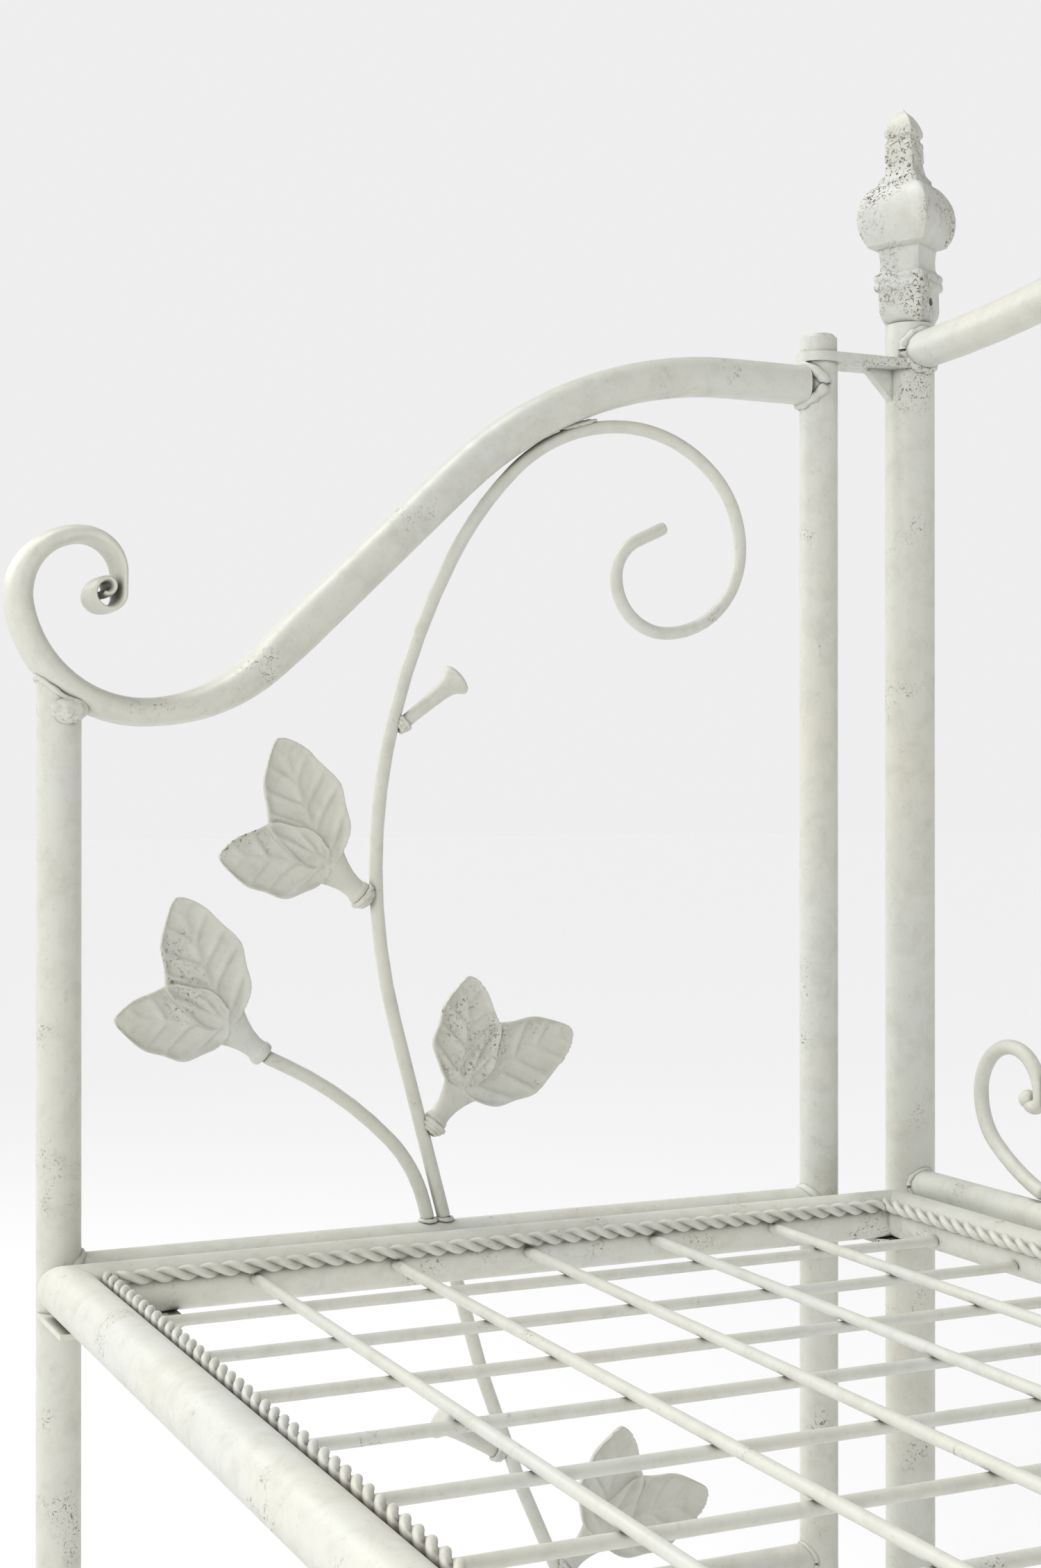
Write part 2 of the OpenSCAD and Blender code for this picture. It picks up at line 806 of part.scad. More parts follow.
module seat_side_tube(side) {
    color("ivory")
        translate([side * seat_x, seat_mid_y, seat_z])
            rotate([0, 0, side * 90])
                mitred_tube(seat_width);
}

// Twisted trim along the front and back tubes
module long_rope(y, inward) {
    length = 2 * (seat_x - trim_gap - sqrt(seat_r * seat_r - pow(rope_up - rope_d / 2, 2)));
    color("ivory")
        translate([-length / 2, y + inward * rope_in, seat_z + rope_up])
            rotate([0, 90, 0])
                cylinder(d = rope_d, h = length);
}

// Twisted trim along an end tube, between the two long ones
module side_rope(side) {
    start = seat_front_y + rope_in + rope_d / 2 + trim_gap;
    finish = seat_back_y - rope_in - rope_d / 2 - trim_gap;
    color("ivory")
        translate([side * (seat_x - rope_in), start, seat_z + rope_up])
            rotate([-90, 0, 0])
                cylinder(d = rope_d, h = finish - start);
}

// How far from a seat tube's axis a lattice rod at the given height meets the tube
function rod_reach(z) =
    sqrt(seat_r * seat_r - pow(max(abs(z - seat_z) - lattice_rod_d / 2, 0), 2));

// Lattice rods that run the length of the seat, on top of the cross rods
module lengthwise_rods() {
    length = 2 * (seat_x - rod_reach(lattice_z));
    pitch = (seat_back_y - seat_front_y - 2 * rope_in) / (long_rods + 1);
    color("ivory")
        for (i = [1:long_rods])
            translate([-length / 2, seat_front_y + rope_in + i * pitch, lattice_z])
                rotate([0, 90, 0])
                    cylinder(d = lattice_rod_d, h = length);
}

module crosswise_rods() {
    reach = rod_reach(lattice_z - lattice_rod_d);
    width = seat_back_y - seat_front_y - 2 * reach;
    pitch = 2 * (seat_x - cross_rod_inset) / (cross_rods - 1);
    color("ivory")
        for (i = [0:cross_rods - 1])
            translate([-seat_x + cross_rod_inset + i * pitch, seat_front_y + reach, lattice_z - lattice_rod_d])
                rotate([-90, 0, 0])
                    cylinder(d = lattice_rod_d, h = width);
}

// Tabs welded to the front posts and the back posts, on which the seat frame's corners rest
module support_tabs() {
    color("ivory")
        for (side = [-1, 1])
            at_end(side) {
                translate([0, front_y, 0]) support_tab(post_r, front_tab_length, front_tab_overhang);
                translate([0, back_y, 0])
                    mirror([0, 1, 0])
                        support_tab(back_post_r, back_tab_length, back_tab_overhang);
            }
}

// The tab of a post that stands on the origin, running towards +Y
module support_tab(r, length, overhang) {
    top = seat_z - seat_r;
    inner = end_x - seat_x + seat_r + overhang;
    difference() {
        translate([0, 0, top - tab_thick])
            linear_extrude(height = tab_thick)
                polygon([[0, -r], [inner, -r], [inner, length - tab_corner],
                    [inner - tab_corner, length], [0, length]]);
        translate([0, 0, top - 2 * tab_thick])
            cylinder(r = r + touch, h = 3 * tab_thick);
        translate([inner - tab_hole_in, length - tab_hole_back, top - 2 * tab_thick])
            cylinder(d = tab_hole_d, h = 3 * tab_thick);
    }
}

// A glide for one leg: a foot with a plug that stands inside the tube
module glide(d) {
    cylinder(d1 = d, d2 = d + 2, h = 2);
    translate([0, 0, 2]) cylinder(d = d + 2, h = glide_height - 2);
    cylinder(d = d - 2 * wall - 2 * plug_clear, h = glide_height + 18);
}

module leg_glides() {
    color("gray")
        for (side = [-1, 1])
            at_end(side) {
                for (y = [front_y, rear_y]) translate([0, y, 0]) glide(post_d);
                translate([0, back_y, 0]) glide(back_post_d);
            }
}

front_post(-1);  // left_front_post
rear_post(-1);  // left_rear_post
mid_rail(-1);  // left_mid_rail
lower_rail(-1);  // left_lower_rail
top_rail(-1);  // left_top_rail
top_scroll(-1);  // left_top_scroll
vine_stem(-1);  // left_vine_stem
vine_branch(-1);  // left_vine_branch
lower_stem(-1);  // left_lower_stem
branch_leaf(-1);  // left_branch_leaf
stem_leaf(-1);  // left_stem_leaf
base_leaf(-1);  // left_base_leaf
lower_leaf(-1);  // left_lower_leaf
buds(-1);  // left_buds
front_post(1);  // right_front_post
rear_post(1);  // right_rear_post
mid_rail(1);  // right_mid_rail
lower_rail(1);  // right_lower_rail
top_rail(1);  // right_top_rail
top_scroll(1);  // right_top_scroll
vine_stem(1);  // right_vine_stem
vine_branch(1);  // right_vine_branch
lower_stem(1);  // right_lower_stem
branch_leaf(1);  // right_branch_leaf
stem_leaf(1);  // right_stem_leaf
base_leaf(1);  // right_base_leaf
lower_leaf(1);  // right_lower_leaf
buds(1);  // right_buds
back_post(-1);  // left_back_post
back_post(1);  // right_back_post
back_top_rail(-1);  // left_back_top_rail
back_top_rail(1);  // right_back_top_rail
back_bottom_rail();
back_scrolls(-1);  // left_back_scrolls
back_scrolls(1);  // right_back_scrolls
back_boss(-1);  // left_back_boss
back_boss(1);  // right_back_boss
back_vine(-1);  // left_back_vine
back_vine(1);  // right_back_vine
back_leaves(-1);  // left_back_leaves
back_leaves(1);  // right_back_leaves
finial(-1);  // left_finial
finial(1);  // right_finial
finial_screws();
lug(-1);  // left_lug
lug(1);  // right_lug
cap(-1);  // left_cap
cap(1);  // right_cap
seat_front_tube();
seat_back_tube();
seat_side_tube(-1);  // seat_left_tube
seat_side_tube(1);  // seat_right_tube
long_rope(seat_front_y, 1);  // front_rope
long_rope(seat_back_y, -1);  // back_rope
side_rope(-1);  // left_rope
side_rope(1);  // right_rope
lengthwise_rods();
crosswise_rods();
support_tabs();
leg_glides();
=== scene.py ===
import json
import math

import bmesh
import bpy
from bpy.props import FloatProperty, FloatVectorProperty, IntProperty, PointerProperty
from mathutils import Matrix, Vector, noise


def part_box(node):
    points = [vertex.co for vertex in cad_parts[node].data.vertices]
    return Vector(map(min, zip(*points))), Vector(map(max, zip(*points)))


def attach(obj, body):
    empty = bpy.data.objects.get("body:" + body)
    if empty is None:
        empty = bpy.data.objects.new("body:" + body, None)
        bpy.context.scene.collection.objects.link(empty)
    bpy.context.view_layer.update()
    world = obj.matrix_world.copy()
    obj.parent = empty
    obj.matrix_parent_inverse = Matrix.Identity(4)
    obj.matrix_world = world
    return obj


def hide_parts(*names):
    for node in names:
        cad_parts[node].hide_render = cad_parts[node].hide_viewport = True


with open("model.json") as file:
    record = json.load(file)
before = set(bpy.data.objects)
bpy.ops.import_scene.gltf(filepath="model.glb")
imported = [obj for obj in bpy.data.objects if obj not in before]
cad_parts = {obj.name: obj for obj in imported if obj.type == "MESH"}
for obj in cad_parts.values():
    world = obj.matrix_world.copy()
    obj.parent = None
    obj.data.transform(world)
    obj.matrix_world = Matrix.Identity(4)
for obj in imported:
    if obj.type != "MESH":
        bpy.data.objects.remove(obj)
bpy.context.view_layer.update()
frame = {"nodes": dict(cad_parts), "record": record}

bl_info = {
    "name": "Scrolled daybed",
    "version": (1, 0, 0),
    "blender": (4, 5, 0),
    "location": "3D View > Sidebar > Daybed",
    "description": "Draws the scrolls, vines, leaves, finials, rope trim, welds and old paint of a metal daybed",
    "category": "Object",
}

MM = 0.001


def middle(node):
    """Centre of a CAD node's box."""
    low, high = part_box(node)
    return (low + high) / 2


END_X = -middle("left_rear_post").x
FRONT_Y = middle("left_front_post").y
REAR_Y = middle("left_rear_post").y
BACK_Y = middle("left_back_post").y
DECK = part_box("left_mid_rail")[1].z
POST_R = (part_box("left_rear_post")[1].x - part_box("left_rear_post")[0].x) / 2
BACK_POST_R = (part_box("left_back_post")[1].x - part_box("left_back_post")[0].x) / 2
SIDES = {"left": -1, "right": 1}
# How far below the level the rope's line of contact with its tube lies, seen from the rope's axis
ROPE_ANGLE = math.radians(28)


# ---- Sizes and colours ----


def length_of(name, description, default):
    """A length property, in metres."""
    return FloatProperty(name=name, description=description, default=default, unit="LENGTH")


def colour_of(name, description, default):
    """A colour property."""
    return FloatVectorProperty(name=name, description=description, default=default, subtype="COLOR", size=3)


class DaybedSizes(bpy.types.PropertyGroup):
    """Sizes of the pieces that this script draws"""

    vine_d: length_of("Vine rod", "Diameter of the end panels' vine rods", 0.0105)
    back_rod_d: length_of("Back rod", "Diameter of the back panel's rods", 0.012)
    strand_d: length_of("Rope strand", "Diameter of one strand of the rope trim", 0.0064)
    rope_pitch: length_of("Rope pitch", "Length of one full twist of the rope trim", 0.032)
    bead_d: length_of("Weld bead", "Diameter of a weld bead", 0.005)
    leaf_dish: length_of("Leaf dish", "How far a leaf's middle lies below its rim", 0.0032)
    vein_rise: length_of("Vein rise", "How far the veins stand up from a leaf", 0.0026)
    rod_sides: IntProperty(name="Rod sides", description="Faces round a bent rod", default=20, min=8)


class DaybedPaint(bpy.types.PropertyGroup):
    """Colours and roughness of the old paint"""

    pale: colour_of("Pale paint", "Lightest colour of the paint", (0.640, 0.650, 0.600))
    aged: colour_of("Aged paint", "Colour of the paint where it has yellowed", (0.520, 0.515, 0.445))
    rust: colour_of("Rust", "Colour of the bare, rusted metal", (0.110, 0.070, 0.045))
    # Colour of the shade painted into grooves, corners and joins.
    painted_shade: colour_of("Painted shade", "Colour of the dirt in grooves and corners", (0.115, 0.105, 0.080))
    gloss: FloatProperty(name="Roughness", description="Roughness of the sound paint", default=0.36, min=0.0, max=1.0)


# ---- Paths in a plane, in millimetres ----


def after(state, step):
    """State (x, y, heading) after a step: (turn in degrees, radius), or (0, length) where straight."""
    x, y, heading = state
    turn, size = step
    start = math.radians(heading)
    if turn == 0:
        return (x + size * math.cos(start), y + size * math.sin(start), heading)
    end = math.radians(heading + turn)
    size = math.copysign(size, turn)
    return (
        x + size * (math.sin(end) - math.sin(start)),
        y + size * (math.cos(start) - math.cos(end)),
        heading + turn,
    )


def part_of(step, share):
    """The first part of a step."""
    if step[0] == 0 or share == 0:
        return (0, step[1] * share)
    return (step[0] * share, step[1])


def within(start, steps, number, share):
    """The state part of the way along one step of a path."""
    for step in steps[:number]:
        start = after(start, step)
    return after(start, part_of(steps[number], share))


def along(start, steps, chord=4.0, stride=40.0):
    """States along a path with the length run so far: [(x, y, heading, length), ...]."""
    path = [(*start, 0.0)]
    run = 0.0
    for step in steps:
        length = step[1] if step[0] == 0 else abs(math.radians(step[0])) * step[1]
        pieces = math.ceil(length / stride) if step[0] == 0 else math.ceil(abs(step[0]) / chord)
        for k in range(1, pieces + 1):
            path.append((*after(start, part_of(step, k / pieces)), run + length * k / pieces))
        run += length
        start = after(start, step)
    return path


def sized(steps, k):
    """A step list made larger or smaller."""
    return [(turn, size * k) for turn, size in steps]


def lookup(x, table):
    """Straight-line lookup in [(x, value), ...]."""
    if x <= table[0][0]:
        return table[0][1]
    for (x0, v0), (x1, v1) in zip(table, table[1:]):
        if x <= x1:
            return v0 + (v1 - v0) * (x - x0) / (x1 - x0)
    return table[-1][1]


# Each path is a start (x, y, heading) and its steps: (turn, radius), or (0, length) where it is straight
VINE_HEADING = 105
VINE_BENDS = [
    (-30, 458), (-13, 573), (-17, 300), (-45, 140), (-45, 115), (-45, 85), (-90, 71), (-90, 44), (-65, 33), (0, 28),
]
VINE_START = (299.0, 1.56, VINE_HEADING)
VINE_STEPS = [(0, 157.98)] + VINE_BENDS
BACK_VINE_START = (-431.2, 11.75, VINE_HEADING)
BACK_VINE_STEPS = [(0, 199.72)] + sized(VINE_BENDS, 1.3)
BRANCH_START = (285.5, 1.56, VINE_HEADING)
BRANCH_STEPS = [(0, 14), (29, 115), (20, 300), (0, 17)]
LOWER_START = (305.5, -33.5, -76)
LOWER_STEPS = [(12, 1334)]
# The top rail runs forward from the rear post, dips, rises in the scroll and ends in a roll
RAIL_START = (624.0, 671.0, 180)
RAIL_STEPS = [
    (0, 72), (43.686, 350.87), (0, 211.51), (-43.686, 140), (-80, 90), (-100, 45), (-90, 28), (0, 15), (-250, 11),
    (-230, 5.5),
]
# Its thickness, against the length run past the start of the scroll's bends
RAIL_FLATTENING = [(-30, 32), (30, 26), (95, 21), (250, 19), (300, 14), (350, 7), (390, 5)]
SCROLL_START = (180.0, 16.2, 163)
SCROLL_STEPS = [(-20, 195), (-53, 50), (-90, 40), (-90, 36), (-160, 8)]
# How far along their step the leaves and buds sit: (path's start, its steps, number of the step, share)
STEM_LEAF = (VINE_START, VINE_STEPS, 1, 0.37)
BASE_LEAF = (VINE_START, VINE_STEPS, 0, 0.42)
STEM_BUD = (VINE_START, VINE_STEPS, 1, 0.93)
LOWER_LEAF = (LOWER_START, LOWER_STEPS, 0, 0.97)
LOWER_BUD = (LOWER_START, LOWER_STEPS, 0, 0.6)
BACK_STEM_LEAF = (BACK_VINE_START, BACK_VINE_STEPS, 1, 0.37)
BACK_BASE_LEAF = (BACK_VINE_START, BACK_VINE_STEPS, 0, 0.42)
# Which way the castings and buds point, in degrees
LEAF_WAY = 139
BASE_WAY = 49
LOWER_WAY = 38
STEM_BUD_WAY = 38
LOWER_BUD_WAY = 148
# Radius of the weld round a leaf casting's collar
COLLAR_R = 9.4
# The bend of the scroll that rests on the front post: its radius, how far behind the post its centre lies,
# and the height of its lowest point above the mid rail
REST_R = 90
REST_X = 60
REST_Y = 389


# ---- Places ----


def in_panel(side):
    """Turns a drawing of an end panel, in millimetres, to its place: x to the back, y up, z inwards."""
    turn = Matrix(((0, 0, -side, 0), (1, 0, 0, 0), (0, 1, 0, 0), (0, 0, 0, 1)))
    return Matrix.Translation((side * END_X, FRONT_Y, DECK)) @ turn @ Matrix.Scale(MM, 4)


def in_back(side):
    """Turns a drawing of half of the back panel, in millimetres from its centre, to its place: y up."""
    turn = Matrix(((-side, 0, 0, 0), (0, 0, -1, 0), (0, 1, 0, 0), (0, 0, 0, 1)))
    return Matrix.Translation((0, BACK_Y, DECK)) @ turn @ Matrix.Scale(MM, 4)


def cross_section(state, thick, wide, lift=0.0):
    """Matrix of a path's cross-section: thick across the path in its plane, wide out of the plane."""
    x, y, heading = state[:3]
    a = math.radians(heading)
    return Matrix(
        (
            (-math.sin(a) * thick / 2, 0, math.cos(a), x),
            (math.cos(a) * thick / 2, 0, math.sin(a), y),
            (0, wide / 2, 0, lift),
            (0, 0, 0, 1),
        )
    )


# Turns +Z to +X
ALONG_X = Matrix.Rotation(math.radians(90), 4, "Y")


# ---- Making pieces ----


def squarish(power):
    """Outline of a rounded square of half-width 1: the higher the power, the sharper its corners."""
    return lambda a: (abs(math.cos(a)) ** power + abs(math.sin(a)) ** power) ** (-1 / power)


def round_section(x, wide, thick):
    """Place of an oval section across the X axis."""
    return Matrix.Translation((x, 0, 0)) @ ALONG_X @ Matrix.Diagonal((thick / 2, wide / 2, 1, 1))


def draw_out(bm, places, sides, shape=None, close=True):
    """Draws a ring out through the given places, as a section of a rod. shape(angle) is its radius."""
    ring = bmesh.ops.create_circle(bm, cap_ends=close, segments=sides, radius=1.0)["verts"]
    if shape:
        for v in ring:
            v.co *= shape(math.atan2(v.co.y, v.co.x))
    bmesh.ops.transform(bm, matrix=places[0], verts=ring)
    inside = set(ring)
    edges = list({e for v in ring for e in v.link_edges if e.other_vert(v) in inside})
    for before, now in zip(places, places[1:]):
        out = bmesh.ops.extrude_edge_only(bm, edges=edges)["geom"]
        ring = [g for g in out if isinstance(g, bmesh.types.BMVert)]
        inside = set(ring)
        edges = [g for g in out if isinstance(g, bmesh.types.BMEdge) and all(v in inside for v in g.verts)]
        bmesh.ops.transform(bm, matrix=now @ before.inverted(), verts=ring)
    if close:
        bmesh.ops.contextual_create(bm, geom=edges)


def domed(path, size):
    """(state, diameter) pairs for a rod whose two ends are rounded over, within its own length."""
    total = path[-1][3]
    edge = size * 0.3
    out = []
    for state in path:
        near = min(state[3], total - state[3])
        if edge < near or near == 0:
            out.append((state, size * (1.0 if near else 0.62)))
    first, last = path[0], path[-1]
    for number, (share, k) in enumerate(((0.12, 0.80), (0.35, 0.92), (0.7, 0.98), (1.0, 1.0))):
        out.insert(1 + number, (after(first[:3], (0, edge * share)), size * k))
        out.insert(-1 - number, (after(last[:3], (0, -edge * share)), size * k))
    return out


def bent_rod(bm, path, size, sides, lift=0.0):
    """A round rod along a path, with rounded ends."""
    draw_out(bm, [cross_section(s, d, d, lift) for s, d in domed(path, size)], sides)


def finish_mesh(bm, name, material, place=None, smooth_angle=40):
    """Makes a piece of a bmesh: placed in its mesh, normals outward, smooth up to the given angle."""
    if place is not None:
        bmesh.ops.transform(bm, matrix=place, verts=bm.verts)
    bmesh.ops.remove_doubles(bm, verts=bm.verts, dist=1e-6)
    bmesh.ops.recalc_face_normals(bm, faces=bm.faces)
    limit = math.radians(smooth_angle)
    for f in bm.faces:
        f.smooth = True
    for e in bm.edges:
        e.smooth = len(e.link_faces) == 2 and e.calc_face_angle(0.0) < limit
    mesh = bpy.data.meshes.new(name)
    bm.to_mesh(mesh)
    bm.free()
    piece = bpy.data.objects.new(name, mesh)
    bpy.context.scene.collection.objects.link(piece)
    mesh.materials.append(material)
    return piece


def settle(piece, slot, *nodes):
    """Rides the piece on the frame and hides the CAD nodes that it stands for; the slot is not used."""
    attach(piece, "root")
    if nodes:
        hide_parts(*nodes)


def melted(bm, voxel):
    """One closed skin round everything in a bmesh."""
    mesh = bpy.data.meshes.new("melt")
    bm.to_mesh(mesh)
    bm.free()
    lump = bpy.data.objects.new("melt", mesh)
    bpy.context.scene.collection.objects.link(lump)
    skin = lump.modifiers.new("skin", "REMESH")
    skin.mode = "VOXEL"
    skin.voxel_size = voxel
    result = bmesh.new()
    result.from_mesh(lump.evaluated_get(bpy.context.evaluated_depsgraph_get()).to_mesh())
    bpy.data.objects.remove(lump)
    bpy.data.meshes.remove(mesh)
    bmesh.ops.smooth_vert(result, verts=result.verts, factor=0.5, use_axis_x=True, use_axis_y=True, use_axis_z=True)
    return result


def drilled(piece, place, r, length):
    """Drills a round hole with a closed bottom into a piece: place puts its XY plane on the bottom, +Z outwards.

    The radius and the length are in the place's own units.
    """
    bm = bmesh.new()
    halfway = place @ Matrix.Translation((0, 0, length / 2))
    bmesh.ops.create_cone(bm, cap_ends=True, segments=32, radius1=r, radius2=r, depth=length, matrix=halfway)
    mesh = bpy.data.meshes.new("drill")
    bm.to_mesh(mesh)
    bm.free()
    drill = bpy.data.objects.new("drill", mesh)
    bpy.context.scene.collection.objects.link(drill)
    hole = piece.modifiers.new("hole", "BOOLEAN")
    hole.operation = "DIFFERENCE"
    hole.solver = "EXACT"
    hole.object = drill
    result = bpy.data.meshes.new_from_object(piece.evaluated_get(bpy.context.evaluated_depsgraph_get()))
    piece.modifiers.remove(hole)
    piece.data = result
    bpy.data.objects.remove(drill)
    bpy.data.meshes.remove(mesh)


# ---- Materials ----


class Graph:
    """Adds and links the nodes of one material."""

    def __init__(self, name):
        self.material = bpy.data.materials.new(name)
        self.material.use_nodes = True
        self.nodes = self.material.node_tree.nodes
        self.links = self.material.node_tree.links
        self.shader = self.nodes["Principled BSDF"]
        self.place = self.nodes.new("ShaderNodeTexCoord").outputs["Object"]

    def noise(self, scale, detail=3.0, rough=0.55, distort=0.0):
        """Noise on the object's own coordinates."""
        node = self.nodes.new("ShaderNodeTexNoise")
        node.inputs["Scale"].default_value = scale
        node.inputs["Detail"].default_value = detail
        node.inputs["Roughness"].default_value = rough
        node.inputs["Distortion"].default_value = distort
        self.links.new(self.place, node.inputs["Vector"])
        return node.outputs["Fac"]

    def ramp(self, value, stops):
        """Turns a value into a grey or a colour: stops are (position, grey or colour)."""
        node = self.nodes.new("ShaderNodeValToRGB")
        ramp = node.color_ramp
        while len(ramp.elements) < len(stops):
            ramp.elements.new(0.5)
        for element, (position, colour) in zip(ramp.elements, stops):
            element.position = position
            element.color = (*colour, 1.0) if isinstance(colour, tuple) else (colour, colour, colour, 1.0)
        self.links.new(value, node.inputs["Fac"])
        return node.outputs["Color"]

    def mix(self, factor, first, second):
        """A mix of two colours."""
        node = self.nodes.new("ShaderNodeMix")
        node.data_type = "RGBA"
        self.put(factor, node.inputs["Factor"])
        self.put(first, node.inputs["A"])
        self.put(second, node.inputs["B"])
        return node.outputs["Result"]

    def maths(self, operation, first, second=0.0):
        """A sum or product, held between 0 and 1."""
        node = self.nodes.new("ShaderNodeMath")
        node.operation = operation
        node.use_clamp = True
        self.put(first, node.inputs[0])
        self.put(second, node.inputs[1])
        return node.outputs[0]

    def put(self, value, socket):
        """Links another socket to this one, or sets a constant on it."""
        if isinstance(value, bpy.types.NodeSocket):
            self.links.new(value, socket)
        elif isinstance(value, tuple) and len(value) == 3 and socket.type == "RGBA":
            socket.default_value = (*value, 1.0)
        else:
            socket.default_value = value

    def bump(self, height, strength, distance, below=None):
        """A bump, over another one if given."""
        node = self.nodes.new("ShaderNodeBump")
        node.inputs["Strength"].default_value = strength
        node.inputs["Distance"].default_value = distance
        self.links.new(height, node.inputs["Height"])
        if below:
            self.links.new(below, node.inputs["Normal"])
        return node.outputs["Normal"]


def old_paint(name, chips, brush=1.0, grain=420.0, rough_add=0.0, tone=1.0, painted_shade=""):
    """Aged off-white paint on steel.

    chips is how much of it has flaked to rust, brush the strength of its runs and grain the scale of its fine
    grain. An attribute, named by the last argument, says where shade is painted into it. Shade is also painted
    into corners, creases and joins, where ambient occlusion finds the surface closed in.
    """
    paint = bpy.context.scene.daybed_paint
    g = Graph(name)
    pale = tuple(c * tone for c in paint.pale)
    aged = tuple(c * tone for c in paint.aged)
    warm = tuple(c * k * tone for c, k in zip(paint.pale, (1.02, 0.99, 0.93)))
    broad = g.noise(5.0, 4.0, 0.6)
    fine = g.noise(46.0, 5.0, 0.65, distort=0.4)
    colour = g.mix(g.ramp(broad, [(0.35, 0.0), (0.68, 1.0)]), pale, warm)
    colour = g.mix(g.ramp(fine, [(0.46, 0.0), (0.80, 0.75)]), colour, aged)
    speck = g.noise(230.0, 3.0, 0.6)
    colour = g.mix(g.ramp(speck, [(0.60, 0.0), (0.78, 0.35)]), colour, tuple(c * 0.72 for c in aged))
    # Painted shade: the colour is darkened towards the shade colour in corners, creases and joins, where ambient
    # occlusion finds the surface closed in.
    corners = g.nodes.new("ShaderNodeAmbientOcclusion")
    corners.samples = 6
    corners.inputs["Distance"].default_value = 0.007
    closed = g.ramp(corners.outputs["AO"], [(0.30, 1.0), (0.82, 0.0)])
    colour = g.mix(g.maths("MULTIPLY", closed, 0.72), colour, paint.painted_shade[:])
    # Painted shade in the rope's grooves and on its side towards its tube: the attribute says where, noise makes it
    # uneven.
    if painted_shade:
        shade = g.nodes.new("ShaderNodeAttribute")
        shade.attribute_name = painted_shade
        uneven = g.ramp(g.noise(85.0, 3.0, 0.6), [(0.30, 0.35), (0.62, 1.0)])
        colour = g.mix(g.maths("MULTIPLY", shade.outputs["Fac"], uneven), colour, paint.painted_shade[:])
    patch = g.ramp(g.noise(16.0, 3.0, 0.6), [(0.62 - chips * 0.30, 0.0), (0.74 - chips * 0.26, 1.0)])
    edge = 0.585 - chips * 0.05
    flake = g.ramp(g.noise(360.0, 6.0, 0.72, distort=0.8), [(edge, 0.0), (edge + 0.027, 1.0)])
    bare = g.maths("MULTIPLY", patch, flake)
    rust = g.mix(g.noise(300.0, 2.0), paint.rust[:], tuple(c * 1.6 for c in paint.rust))
    colour = g.mix(bare, colour, rust)
    g.links.new(colour, g.shader.inputs["Base Color"])
    uneven_gloss = g.maths("MULTIPLY", g.ramp(fine, [(0.3, 0.0), (0.8, 1.0)]), 0.16)
    rough = g.maths("ADD", uneven_gloss, paint.gloss + rough_add)
    g.links.new(g.maths("ADD", rough, g.maths("MULTIPLY", bare, 0.4)), g.shader.inputs["Roughness"])
    runs = g.bump(g.noise(60.0, 3.0, 0.5), 0.28 * brush, 0.0012)
    grainy = g.bump(g.noise(grain, 4.0, 0.6), 0.22 * brush, 0.0005, runs)
    pits = g.bump(g.maths("SUBTRACT", 1.0, bare), 0.75, 0.0006, grainy)
    g.links.new(pits, g.shader.inputs["Normal"])
    g.shader.inputs["Specular IOR Level"].default_value = 0.45
    return g.material


def plain_metal(name):
    """Dark steel of the grub screws, with turning marks."""
    g = Graph(name)
    colour = g.ramp(g.noise(400.0, 3.0), [(0.3, (0.035, 0.030, 0.026)), (0.7, (0.10, 0.085, 0.07))])
    g.links.new(colour, g.shader.inputs["Base Color"])
    g.links.new(g.bump(g.noise(900.0, 2.0), 0.3, 0.0003), g.shader.inputs["Normal"])
    g.shader.inputs["Metallic"].default_value = 0.8
    g.shader.inputs["Roughness"].default_value = 0.5
    return g.material


def glide_plastic(name):
    """Moulded plastic of the leg glides, scuffed underneath."""
    g = Graph(name)
    colour = g.ramp(g.noise(70.0, 4.0), [(0.35, (0.50, 0.49, 0.45)), (0.75, (0.40, 0.39, 0.36))])
    g.links.new(colour, g.shader.inputs["Base Color"])
    g.links.new(g.bump(g.noise(600.0, 3.0), 0.25, 0.0004), g.shader.inputs["Normal"])
    g.shader.inputs["Roughness"].default_value = 0.55
    return g.material


FINISHES = {
    "tube_paint": lambda: old_paint("tube_paint", 0.10),
    "rod_paint": lambda: old_paint("rod_paint", 0.05),
    # The rope's paint is darkened with painted shade where the rope's attribute says.
    "rope_paint": lambda: old_paint("rope_paint", 0.05, painted_shade="groove_shade"),
    "cast_paint": lambda: old_paint("cast_paint", 0.12, brush=1.5, grain=260.0, tone=0.95),
    "finial_paint": lambda: old_paint("finial_paint", 0.62, brush=1.8, grain=240.0, rough_add=0.1, tone=0.98),
    "fitting_paint": lambda: old_paint("fitting_paint", 0.30),
    "weld_paint": lambda: old_paint("weld_paint", 0.30, brush=1.6, grain=300.0),
    "screw_steel": lambda: plain_metal("screw_steel"),
    "glide_plastic": lambda: glide_plastic("glide_plastic"),
}


def finish_of(slot):
    """The material of a finish, made the first time it is asked for."""
    name = "daybed_" + slot
    if name not in bpy.data.materials:
        FINISHES[slot]().name = name
    return bpy.data.materials[name]


# Brightness of the studio round the daybed against height, from straight below (0) to straight above (1)
SKY = ((0.0, 0.30), (0.44, 0.55), (0.485, 0.86), (0.70, 0.86), (0.76, 0.30), (1.0, 0.22))


# ---- Operators ----


class DAYBED_OT_finish_frame(bpy.types.Operator):
    """Paints the posts, rails, rods and fittings that the frame already draws"""

    bl_idname = "daybed.finish_frame"
    bl_label = "Finish the frame"

    def execute(self, context):
        slots = {s["node"]: s["material_slot"] for s in frame["record"]["subparts"]}
        for node, piece in frame["nodes"].items():
            material = finish_of(slots[node])
            for place in piece.material_slots:
                place.material = material
        return {"FINISHED"}


